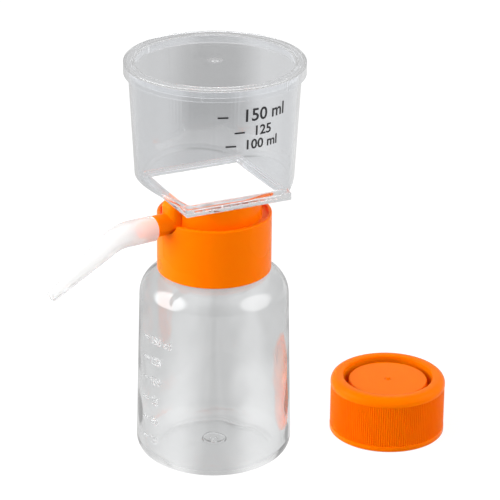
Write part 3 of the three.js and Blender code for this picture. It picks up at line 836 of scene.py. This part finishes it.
adapter_section = [
    (COLLAR_BORE, collar_bottom, 0.3),
    (COLLAR_RADIUS, collar_bottom, 0.6),
    (COLLAR_RADIUS, collar_top, 0.55),
    (RIM_BORE, collar_top, 0.35),
    (RIM_BORE, collar_top - RIM_DEPTH, 0.3),
    (HUB_RADIUS + 0.1, collar_top - RIM_DEPTH, 0.5),
    (HUB_RADIUS, hub_top, 0.45),
    (HUB_BORE, hub_top, 0.3),
    (HUB_BORE, deck_top, 0.5),
    (SPOUT_HOLE, deck_top),
    (SPOUT_HOLE, deck_bottom),
    (COLLAR_BORE, deck_bottom, 0.3),
]
to_nozzle = spun(NOZZLE_ANGLE)


def round_edges(bm, chosen, rounding):
    edges = [edge for edge in bm.edges if chosen(*[vert.co for vert in edge.verts])]
    bevel(bm, edges, rounding, LARGE_EDGE_SEGMENTS)


def outer_corner(one, two):
    return min(one.x, two.x) > HUMP_REACH - 0.1 and abs(one.z - two.z) > 1


def top_rim(one, two):
    return min(one.z, two.z) > hub_top - 0.1 and max(one.x, two.x) > HUB_BORE + 1


notch = rod(NOTCH_RADIUS, *NOTCH_REACH, collar_top - NOTCH_SAG + NOTCH_RADIUS)
hump_side = (-NOZZLE_RADIUS, NOZZLE_RADIUS)
hump = block((HUB_BORE + 0.2, HUMP_REACH), hump_side, (nozzle_height, hub_top))
round_edges(hump, outer_corner, HUMP_ROUND)
round_edges(hump, top_rim, HUMP_ROUND - 0.2)
over = rod(NOZZLE_RADIUS, NOZZLE_ROOT, NOZZLE_REACH, nozzle_height, NOZZLE_EDGE)
below = block((19, NOZZLE_REACH + 1), (-6, 6), (nozzle_height - 6, nozzle_height - 0.4))
over = cut(over, below)
under = rod(NOZZLE_UNDER, NOZZLE_ROOT, NOZZLE_REACH, nozzle_height, NOZZLE_EDGE)
stub = rod(STUB_RADIUS, NOZZLE_ROOT, STUB_END, nozzle_height, STUB_EDGE)
bore = rod(NOZZLE_BORE, HUB_BORE - 2, STUB_END + 1, nozzle_height)

adapter = turn(adapter_section)
collar_thread = thread(COLLAR_BORE, COLLAR_BORE - THREAD_DEPTH, neck_top - COLLAR_THREAD_DOWN)
adapter = cut(join(adapter, collar_thread), move(notch, to_nozzle))
adapter = join(adapter, *[move(shape, to_nozzle) for shape in (hump, over, under, stub)])
adapter = cut(adapter, move(bore, to_nozzle))
for quarter in range(4):
    hole = round_bar(VENT, deck_bottom - 1, deck_top + 1, steps=VENT_STEPS)
    adapter = cut(adapter, move(hole, shifted(VENT_CIRCLE, 0, 0), spun(90 * quarter)))
hand_over(
    adapter, "adapter_body", orange_adapter, "filter_head", ["vacuum_adapter"]
)

# %% [markdown]
# ## The filter funnel
# The funnel's wall is round and opens slightly upwards, but its floor is square. Four flat panels
# rise from the sides of the square window and meet the round wall in arches. So the outside is a
# turned cone that four slanted planes cut, and the inside is a smaller one made the same way. The
# arches are rounded with the bevel operator, because a moulded corner always has a small radius.

# %% Funnel wall
FILTER_TURN = 26.4
PLATE_SIDE = 49.5
FUNNEL_FOOT = 34.2
FUNNEL_RIM = 37.2
FUNNEL_WALL = 1.3
FLOOR_WALL = 1.0
FLOOR_SLOPE = math.radians(23)
ARCH_ROUND = 1.9
ARCH_ANGLE = math.radians(15)
FINE_EDGE = 0.3
FLANGE = 1.7
MEMBRANE_SIDE = 42.0
plate_bottom = hub_top + 0.3
plate_top = bottom_of("filter_membrane")
flange_top = plate_top + FLANGE
funnel_top = top_of("filter_funnel")


def wall_radius(height):
    widening = (FUNNEL_RIM - FUNNEL_FOOT) * (height - flange_top)
    return FUNNEL_FOOT + widening / (funnel_top - flange_top)


def hopper(inset, side, top, rim_round=0):
    """A round cone whose bottom is cut to four panels that rise from a square."""
    low = flange_top - 1.5
    foot = corner(wall_radius(low) - inset, low)
    rim = corner(wall_radius(top) - inset, top, rim_round)
    bm = turn([(0, low), foot, rim, (0, top)])
    for quarter in range(4):
        out = Matrix.Rotation(quarter * math.pi / 2, 3, "Z") @ Vector((1, 0, 0))
        normal = out * math.sin(FLOOR_SLOPE) - Vector((0, 0, math.cos(FLOOR_SLOPE)))
        edge = out * side / 2 + Vector((0, 0, flange_top))
        halved = bmesh.ops.bisect_plane(
            bm,
            geom=bm.verts[:] + bm.edges[:] + bm.faces[:],
            plane_co=edge,
            plane_no=normal,
            clear_outer=True,
        )
        open_edges = [g for g in halved["geom_cut"] if isinstance(g, bmesh.types.BMEdge)]
        bmesh.ops.contextual_create(bm, geom=open_edges)
    tidy(bm)
    wall_foot = wall_radius(flange_top) - inset - 0.6

    def on_low_wall(vert):
        radius = math.hypot(vert.co.x, vert.co.y)
        return radius > wall_foot and flange_top - 0.4 < vert.co.z < top - 20

    low_edges = [edge for edge in bm.edges if all(on_low_wall(vert) for vert in edge.verts)]
    arches = [edge for edge in low_edges if edge.calc_face_angle(0) > ARCH_ANGLE]
    bevel(bm, arches, ARCH_ROUND)
    print("arch edges rounded:", len(arches))
    return bm


def square(side, low, high, rounding=0):
    return block((-side / 2, side / 2), (-side / 2, side / 2), (low, high), rounding)


floor_rise = FLOOR_WALL / math.cos(FLOOR_SLOPE)
inner_side = PLATE_SIDE - 2 * floor_rise / math.tan(FLOOR_SLOPE)
filter_unit = hopper(0, PLATE_SIDE, funnel_top, FINE_EDGE)

# %% [markdown]
# The funnel's flange is welded to the support plate below it, and the membrane is caught between
# the two. A weld leaves no air gap, so flange and plate are one body here, with only a fine groove
# round the outside where the two halves meet. The space for the membrane, the drained area with
# its ribs and the spout's bore are cut out of that body.

# %% Welded flange, plate and spout
SEAM = 0.3
WINDOW_MARGIN = 0.4
WINDOW_FLARE = 1.1
DRAIN_SIDE = MEMBRANE_SIDE - 3.0
DRAIN_DEPTH = 0.9
DRAIN_RIBS = 8
DRAIN_RIB_WIDTH = 1.0
DRAIN_GUTTER = 5.0
SPOUT_RADIUS = 4.4
SPOUT_BORE = 2.8
SPOUT_LENGTH = 25.0
SPOUT_EDGE = 0.4
SEAT_RING = 18.3
SEAT_RING_DEPTH = 4.0
SEAT_RING_WALL = 1.3
sealed = plate_bottom + 0.25
flange = square(PLATE_SIDE, plate_top, flange_top, FINE_EDGE)
plate = square(PLATE_SIDE, plate_bottom, plate_top, FINE_EDGE)
weld = square(PLATE_SIDE - 2 * SEAM, plate_top - 0.5, plate_top + 0.5)
filter_unit = join(filter_unit, flange, plate, weld)
filter_unit = cut(filter_unit, hopper(FUNNEL_WALL, inner_side, funnel_top + 1))
window_side = MEMBRANE_SIDE - 2 * WINDOW_MARGIN
window = square(window_side, plate_top + 0.1, flange_top + 0.5)
window_top = [vert for vert in window.verts if vert.co.z > flange_top]
bmesh.ops.scale(window, verts=window_top, vec=(WINDOW_FLARE, WINDOW_FLARE, 1.0))
slot = square(MEMBRANE_SIDE + 0.3, plate_top - 0.05, plate_top + 0.4)
drain = square(DRAIN_SIDE, plate_top - DRAIN_DEPTH, plate_top + 0.2)
for number in range(1, DRAIN_RIBS + 1):
    middle = DRAIN_SIDE * (number / (DRAIN_RIBS + 1) - 0.5)
    for side in (-1, 1):
        ends = side * (DRAIN_SIDE / 2 + 1), side * DRAIN_GUTTER / 2
        rib = block(
            (middle - DRAIN_RIB_WIDTH / 2, middle + DRAIN_RIB_WIDTH / 2),
            sorted(ends),
            (plate_top - DRAIN_DEPTH - 0.3, plate_top - 0.1),
        )
        drain = cut(drain, rib)
filter_unit = cut(filter_unit, window, slot, drain)
seat_section = [
    (SEAT_RING - SEAT_RING_WALL, plate_bottom - SEAT_RING_DEPTH, FINE_EDGE),
    (SEAT_RING, plate_bottom - SEAT_RING_DEPTH, FINE_EDGE),
    (SEAT_RING, sealed),
    (SEAT_RING - SEAT_RING_WALL, sealed),
]
spout_end = plate_bottom - SPOUT_LENGTH
spout = round_bar(SPOUT_RADIUS, spout_end, sealed, start_round=SPOUT_EDGE)
spout_bore = round_bar(SPOUT_BORE, spout_end - 1, plate_top - 0.5)
filter_unit = cut(join(filter_unit, turn(seat_section), spout), spout_bore)
move(filter_unit, spun(FILTER_TURN))
welded = ["filter_funnel", "membrane_support"]
hand_over(filter_unit, "funnel_body", clear_funnel, "filter_head", welded)

# %% [markdown]
# ## The funnel's printed scale
# Black figures on the outside of the funnel show its volume. Each line is plain lettering with a
# tick, wrapped onto the wall just proud of the plastic.

# %% Printed scale
PRINT_ANGLE = -62.5
INK = 0.06
PRINT_BOLDER = 0.13
TICK_LENGTH = 4.5
TICK_HALF = 0.38
print_rows = [("150 ml", 170.3, 7.8, 15.9), ("125", 163.1, 6.0, 8.6), ("100 ml", 157.2, 6.0, 12.2)]
lines = []
for label, height, size, reach in print_rows:
    words = flat_words(label, size, INK, PRINT_BOLDER)
    right_edge = max(vert.co.x for vert in words.verts)
    lines.append(move(words, shifted(reach - right_edge, height, 0)))
    tick = block((-reach, -reach + TICK_LENGTH), (-TICK_HALF, TICK_HALF), (-INK / 2, INK / 2))
    lines.append(move(tick, shifted(0, height, 0)))
volume_print = wrap(gather(lines), lambda height: wall_radius(height) + INK, PRINT_ANGLE)
hand_over(volume_print, "funnel_print", black_ink, "filter_head")

# %% [markdown]
# ## The funnel's lid
# The lid is a thin disc. Its skirt reaches down outside the funnel, and a ring under the disc goes
# down inside the funnel's mouth. The middle of the disc lies a hair lower than its rim, and a
# small dimple with a nub marks the place where the plastic entered the mould. Six small ribs
# inside the skirt keep an air gap.

# %% Lid
LID_RADIUS = 39.0
LID_SKIRT_BORE = 37.9
LID_WALL = 1.1
LID_PLUG = 35.4
LID_PLUG_DEPTH = 4.7
LID_SINK = 0.35
LID_RIBS = 6
RIB_START = -37
RIB_REACH = (37.35, 38.4)
RIB_HALF = 0.45
DIMPLE_RADIUS = 3.2
DIMPLE_DEPTH = 0.35
NUB_RADIUS = 1.1
lid_bottom = bottom_of("funnel_lid")
lid_top = top_of("funnel_lid")
disc_bottom = lid_top - LID_WALL
plug_bottom = lid_top - LID_PLUG_DEPTH
panel_top = lid_top - LID_SINK
dimple_floor = panel_top - DIMPLE_DEPTH
lid_section = [
    (0, disc_bottom),
    (LID_PLUG - LID_WALL, disc_bottom, 0.4),
    (LID_PLUG - LID_WALL, plug_bottom, 0.3),
    (LID_PLUG, plug_bottom, 0.45),
    (LID_PLUG, disc_bottom, 0.4),
    (LID_SKIRT_BORE, disc_bottom, 0.4),
    (LID_SKIRT_BORE, lid_bottom, 0.25),
    (LID_RADIUS, lid_bottom, 0.4),
    (LID_RADIUS, lid_top, 0.45),
    (LID_PLUG - 0.3, lid_top, 0.2),
    (LID_PLUG - 0.8, panel_top, 0.3),
    (DIMPLE_RADIUS, panel_top, 0.15),
    (DIMPLE_RADIUS - 0.4, dimple_floor, 0.15),
    (NUB_RADIUS + 0.4, dimple_floor, 0.15),
    (NUB_RADIUS, panel_top + 0.1, 0.2),
    (0, panel_top + 0.15),
]
lid = turn(lid_section)
for number in range(LID_RIBS):
    rib = block(RIB_REACH, (-RIB_HALF, RIB_HALF), (lid_bottom + 0.3, disc_bottom + 0.5), 0.1)
    lid = join(lid, move(rib, spun(360 / LID_RIBS * number + RIB_START)))
hand_over(lid, "lid_body", clear_lid, "lid", ["funnel_lid"])

# %% [markdown]
# ## The hose connector
# The milky connector pushes onto the nozzle's stub, bends down and narrows to a tip that takes a
# hose. It starts as a ring of edges. Each extrusion leaves a new ring that is moved along the bend
# and scaled, first down the outside, then back up the bore to the socket.

# %% Connector
CONNECTOR_SIDES = 48
CONNECTOR_RADIUS = 5.5
CONNECTOR_TIP = 2.3
CONNECTOR_TIP_BORE = 1.4
STRAIGHT = 12.1
TAIL = 34.0
BEND_RADIUS = 18.0
BEND = math.radians(32)
BEND_STEPS = 10
SOCKET_DEPTH = 7.5
SOCKET_RADIUS = 3.9
SOCKET_BORE = 3.4
bend_length = BEND_RADIUS * BEND
connector_length = STRAIGHT + bend_length + TAIL
connector_mouth = NOZZLE_REACH + 0.3


def along_connector(distance):
    """Where the middle line is at a distance from the mouth, with its tilt."""
    turned = min(max(distance - STRAIGHT, 0), bend_length) / BEND_RADIUS
    tail = max(distance - STRAIGHT - bend_length, 0)
    out = min(distance, STRAIGHT) + BEND_RADIUS * math.sin(turned) + tail * math.cos(turned)
    down = BEND_RADIUS * (1 - math.cos(turned)) + tail * math.sin(turned)
    tilt = Matrix.Rotation(turned, 4, "Y") @ spun(90, "Y")
    return shifted(connector_mouth + out, 0, nozzle_height - down) @ tilt


def taper(distance, wide, narrow):
    share = max(distance - STRAIGHT, 0) / (connector_length - STRAIGHT)
    return wide + (narrow - wide) * share


bend = [STRAIGHT + bend_length * step / BEND_STEPS for step in range(BEND_STEPS + 1)]
outer_stations = [*bend, connector_length - 0.3]
inner_stations = [connector_length, *reversed(outer_stations)]
rings = [(0.0, CONNECTOR_RADIUS - 0.3), (0.35, CONNECTOR_RADIUS)]
rings += [(place, taper(place, CONNECTOR_RADIUS, CONNECTOR_TIP)) for place in outer_stations]
rings += [(connector_length, CONNECTOR_TIP - 0.25)]
rings += [(place, taper(place, SOCKET_BORE, CONNECTOR_TIP_BORE)) for place in inner_stations]
rings += [(SOCKET_DEPTH, SOCKET_BORE), (SOCKET_DEPTH, SOCKET_RADIUS), (0.0, SOCKET_RADIUS)]
connector = bmesh.new()
bmesh.ops.create_circle(connector, segments=CONNECTOR_SIDES, radius=rings[0][1])
bmesh.ops.transform(connector, matrix=along_connector(0), verts=connector.verts)
first_ring = connector.edges[:]
loop = first_ring
for (before, old_radius), (distance, radius) in zip(rings, rings[1:]):
    grown = bmesh.ops.extrude_edge_only(connector, edges=loop)["geom"]
    loop = [g for g in grown if isinstance(g, bmesh.types.BMEdge) and len(g.link_faces) == 1]
    fresh = list({vert for edge in loop for vert in edge.verts})
    back = along_connector(before).inverted()
    carry = along_connector(distance) @ Matrix.Scale(radius / old_radius, 4) @ back
    bmesh.ops.transform(connector, matrix=carry, verts=fresh)
bmesh.ops.bridge_loops(connector, edges=first_ring + loop)
connector = move(tidy(connector), to_nozzle)
replaced = ["hose_connector"]
hand_over(
    connector, "connector_body", milky_connector, "connector", replaced
)

# %% [markdown]
# ## The storage cap
# The spare cap lies beside the bottle. Its side is finely ribbed for grip between a plain band and
# a rounded shoulder, and its top has a deep ring groove round a slightly sunken disc. The section
# is turned in many small steps, and in the ribbed zone every second pair of vertices round the cap
# is then pushed in.

# %% Cap
CAP_RADIUS = 26.0
CAP_SHOULDER = 3.2
CAP_BAND = 2.2
CAP_ROOF = 1.6
CAP_PLUG = 19.9
CAP_PLUG_BORE = 17.6
DISC_RADIUS = 17.7
DISC_DOWN = 2
GROOVE_MIDDLE = 19.0
GROOVE_DEPTH = 8
KNURL_TOP = 22.0
KNURL_RIBS = 160
KNURL_STEPS = 4
KNURL_CREST = 25.88
KNURL_DEPTH = 0.38
cap_top = top_of("storage_cap")
disc_top = cap_top - DISC_DOWN
groove_floor = cap_top - GROOVE_DEPTH
cap_plug_bottom = groove_floor - 0.9
roof = cap_top - CAP_ROOF
cap_section = [
    (0, disc_top - CAP_ROOF),
    (CAP_PLUG_BORE, disc_top - CAP_ROOF, 0.3),
    (CAP_PLUG_BORE, cap_plug_bottom, 0.3),
    (CAP_PLUG, cap_plug_bottom, 0.3),
    (CAP_PLUG, roof),
    (COLLAR_BORE, roof, 0.3),
    (COLLAR_BORE, 0, 0.3),
    (CAP_RADIUS, 0, 0.35),
    (CAP_RADIUS, CAP_BAND, 0.12),
    (KNURL_CREST, CAP_BAND + 0.25),
    (KNURL_CREST, KNURL_TOP - 0.25),
    (CAP_RADIUS, KNURL_TOP, 0.12),
    (CAP_RADIUS, cap_top, CAP_SHOULDER),
    (NECK_BORE, cap_top, 0.8),
    (GROOVE_MIDDLE + 0.5, groove_floor, 0.4),
    (GROOVE_MIDDLE - 0.5, groove_floor, 0.4),
    (DISC_RADIUS, disc_top, 0.5),
    (1.7, disc_top, 0.1),
    (1.3, disc_top - 0.3, 0.1),
    (0.8, disc_top - 0.3, 0.1),
    (0.6, disc_top + 0.45, 0.15),
    (0, disc_top + 0.5),
]
cap = turn(cap_section, KNURL_RIBS * KNURL_STEPS)
for vert in cap.verts:
    radius = math.hypot(vert.co.x, vert.co.y)
    if abs(radius - KNURL_CREST) < 0.02:
        around = math.atan2(vert.co.y, vert.co.x) * KNURL_RIBS + math.pi / KNURL_STEPS
        push = KNURL_DEPTH * (0.5 - 0.5 * math.copysign(1, math.cos(around)))
        vert.co.xy *= (radius - push) / radius
cap = join(cap, thread(COLLAR_BORE, COLLAR_BORE - THREAD_DEPTH, THREAD_PITCH))
hand_over(cap, "cap_body", orange_cap, "bottle", ["storage_cap"], cap_axis)

# %% [markdown]
# ## The set
# The pieces stand on a white sweep under soft light. Clear plastic only shows through what it
# bends and mirrors, so the floor and the sky look plain white to the camera, but grey and uneven
# to rays that come through plastic or off it. On the floor that grey is painted shade and painted
# glow: a darker band straight behind the bottle, lighter bands beside it, and further off a darker
# strip and a sweep that is lighter to the right. Light for matt surfaces stays plain and even.
# Light Path tells these rays apart.

# %% Floor
FLOOR_SIZE = 6
FLOOR_DROP = 0.0002
floor_bm = bmesh.new()
bmesh.ops.create_grid(floor_bm, x_segments=1, y_segments=1, size=FLOOR_SIZE)
floor = add_object("floor", to_mesh(floor_bm, "floor"))
floor.location.z = -FLOOR_DROP


def shows_set(tree):
    """1 for rays that reach this surface through plastic or off it, before any matt surface."""
    path = tree.nodes.new("ShaderNodeLightPath").outputs
    bent = math_node(tree, "MAXIMUM", path["Is Glossy Ray"], path["Is Transmission Ray"])
    fresh = math_node(tree, "LESS_THAN", path["Diffuse Depth"], 0.5)
    return path, math_node(tree, "MULTIPLY", bent, fresh)


def distance_from(tree, value, middle):
    return math_node(tree, "ABSOLUTE", math_node(tree, "SUBTRACT", value, middle))


def add_emission(tree, strength):
    node = tree.nodes.new("ShaderNodeEmission")
    feed(tree, node, {"Strength": strength})
    return node.outputs[0]


def mix_shaders(tree, share, first, second):
    node = tree.nodes.new("ShaderNodeMixShader")
    feed(tree, node, {"Fac": share, 1: first, 2: second})
    return node.outputs[0]


# %% Floor material
FLOOR_WHITE = (0.5, 0.5, 0.5, 1)
SHADOW_WHITE = (0.14, 0.14, 0.14, 1)
CAMERA_WHITE = 0.9
BOTTLE_MIDDLE = -0.016
BOTTLE_SIDES = (0.004, 0.018)
BOTTLE_EDGES = (0.02, 0.034)
BOTTLE_DEPTH = (0.03, 0.12)
BOTTLE_DARK = 0.57
BOTTLE_BRIGHT = 0.88
BOTTLE_PLAIN = 0.74
BOTTLE_EDGE_SHADE = 0.8
STRIP_MIDDLE = -0.0245
STRIP_SIDES = (0.012, 0.042)
STRIP_DEPTH = (0.36, 0.45)
STRIP_FAR = 0.52
STRIP_END = 0.385
SWEEP_SIDES = (-0.03, 0.01)
LEFT_GLOW = 0.64
RIGHT_GLOW = 0.74
NEAR_TO_FAR = (0.17, 0.3)
floor_material = bpy.data.materials.new("white_sweep")
floor_material.use_nodes = True
floor.data.materials.append(floor_material)
matt = {"Base Color": FLOOR_WHITE, "Roughness": 1.0, "Specular IOR Level": 0.0}
finish(floor_material, matt)
tree = floor_material.node_tree
path, seen_bent = shows_set(tree)
place = tree.nodes.new("ShaderNodeSeparateXYZ")
feed(tree, place, {0: object_place(tree)})
side, depth = place.outputs["X"], place.outputs["Y"]
# Painted shade and glow on the floor by emission, seen only through plastic or off it.
bright = spread(tree, depth, BOTTLE_DEPTH, (BOTTLE_BRIGHT, BOTTLE_PLAIN))
aside = distance_from(tree, side, BOTTLE_MIDDLE)
band = spread(tree, aside, BOTTLE_SIDES, (BOTTLE_DARK, bright))
edge = spread(tree, aside, BOTTLE_EDGES, (1.0, BOTTLE_EDGE_SHADE))
painted_near_glow = math_node(tree, "MULTIPLY", band, edge)
strip = spread(tree, depth, STRIP_DEPTH, (STRIP_FAR, STRIP_END))
sweep = spread(tree, side, SWEEP_SIDES, (LEFT_GLOW, RIGHT_GLOW))
painted_far_glow = spread(tree, distance_from(tree, side, STRIP_MIDDLE), STRIP_SIDES, (strip, sweep))
painted_glow = spread(tree, depth, NEAR_TO_FAR, (painted_near_glow, painted_far_glow))
shadow_catcher = tree.nodes.new("ShaderNodeBsdfDiffuse")
feed(tree, shadow_catcher, {"Color": SHADOW_WHITE})
lit = tree.nodes.new("ShaderNodeAddShader")
feed(tree, lit, {0: add_emission(tree, CAMERA_WHITE), 1: shadow_catcher.outputs[0]})
sheet = tree.nodes["Principled BSDF"].outputs[0]
straight = mix_shaders(tree, path["Is Camera Ray"], sheet, lit.outputs[0])
seen = mix_shaders(tree, seen_bent, straight, add_emission(tree, painted_glow))
feed(tree, tree.nodes["Material Output"], {"Surface": seen})
print("floor laid")

# %% World
SKY_LIGHT = 0.235
SKY_RISE = (0.2, 0.9)
SKY_LEVELS = (0.75 * SKY_LIGHT, 2.8 * SKY_LIGHT)
ROOM_RISE = (0.0, 0.5)
ROOM_LEVELS = (0.75, 1.0)
FRONT_REACH = (-0.95, -0.4)
FRONT_LEVELS = (0.35, 1.0)
BACK_REACH = (0.2, 0.8)
BACK_LEVELS = (1.0, 0.65)
scene = bpy.context.scene
scene.view_settings.view_transform = "Standard"
world = bpy.data.worlds.new("studio")
scene.world = world
world.use_nodes = True
tree = world.node_tree
path, seen_bent = shows_set(tree)
split = tree.nodes.new("ShaderNodeSeparateXYZ")
feed(tree, split, {0: tree.nodes.new("ShaderNodeTexCoord").outputs["Generated"]})
depth, height = split.outputs["Y"], split.outputs["Z"]
room = spread(tree, height, ROOM_RISE, ROOM_LEVELS)
for reach, levels in ((FRONT_REACH, FRONT_LEVELS), (BACK_REACH, BACK_LEVELS)):
    room = math_node(tree, "MULTIPLY", room, spread(tree, depth, reach, levels))
overhead = spread(tree, height, SKY_RISE, SKY_LEVELS)
strength = tree.nodes.new("ShaderNodeMix")
plain = math_node(tree, "MAXIMUM", path["Is Camera Ray"], overhead)
feed(tree, strength, {"Factor": seen_bent, "A": plain, "B": room})
sky = {"Color": (1, 1, 1, 1), "Strength": strength.outputs["Result"]}
feed(tree, tree.nodes["Background"], sky)
print("sky set")

# %% [markdown]
# ## Lamps
# Two large soft boxes stand left and right of the set, a little in front. The left one is the key
# and shapes the orange from light to dark across the collar. Their mirror images are the broad
# bright patches on the bottle's shoulder, with a darker gap between.


# %% Lamps
LAMP_AIM = Vector((0, 0, 0.09))
LAMP_DISTANCE = 1.5


def soft_box(name, azimuth, rise, size, power):
    """A square lamp beside the set. Its brightness fades at its edges, and so does its image."""
    data = bpy.data.lights.new(name, "AREA")
    data.shape = "SQUARE"
    data.size = size
    data.energy = power
    data.use_nodes = True
    tree = data.node_tree
    across = tree.nodes.new("ShaderNodeVectorMath")
    across.operation = "DISTANCE"
    on_lamp = tree.nodes.new("ShaderNodeNewGeometry").outputs["Parametric"]
    feed(tree, across, {0: on_lamp, 1: (0.5, 0.5, 0.0)})
    fade = spread(tree, across.outputs["Value"], (0.3, 0.5), (1.0, 0.0))
    feed(tree, tree.nodes["Emission"], {"Strength": fade})
    lamp = add_object(name, data)
    out = (spun(azimuth) @ spun(-rise, "Y")).to_3x3()
    lamp.location = LAMP_AIM + out @ Vector((LAMP_DISTANCE, 0, 0))
    lamp.rotation_euler = (LAMP_AIM - lamp.location).to_track_quat("-Z", "Y").to_euler()
    lamp.visible_transmission = False
    print(name, "at", tuple(round(value, 2) for value in lamp.location))


soft_box("key_box", -167, 24, 2.0, 79.0)
soft_box("fill_box", -16, 26, 1.9, 35.0)

# %% [markdown]
# ## Camera
# The camera stands far off and has a long lens, so the set hardly narrows with distance. It looks
# down by its pitch and leans by its roll, and its place is measured from the bottle's axis.

# %% Camera
CAMERA_PLACE = Vector((15.588, -1083.2, 555.45))
CAMERA_PITCH = 22.991
CAMERA_ROLL = 0.562
CAMERA_LENS = 194.18
camera_data = bpy.data.cameras.new("camera")
camera_data.lens = CAMERA_LENS
camera = add_object("camera", camera_data)
turned = spun(90 - CAMERA_PITCH, "X") @ spun(CAMERA_ROLL)
camera.matrix_world = Matrix.Translation(bottle_axis + CAMERA_PLACE * MM) @ turned
scene.camera = camera
print("camera at", tuple(round(value, 4) for value in camera.location))
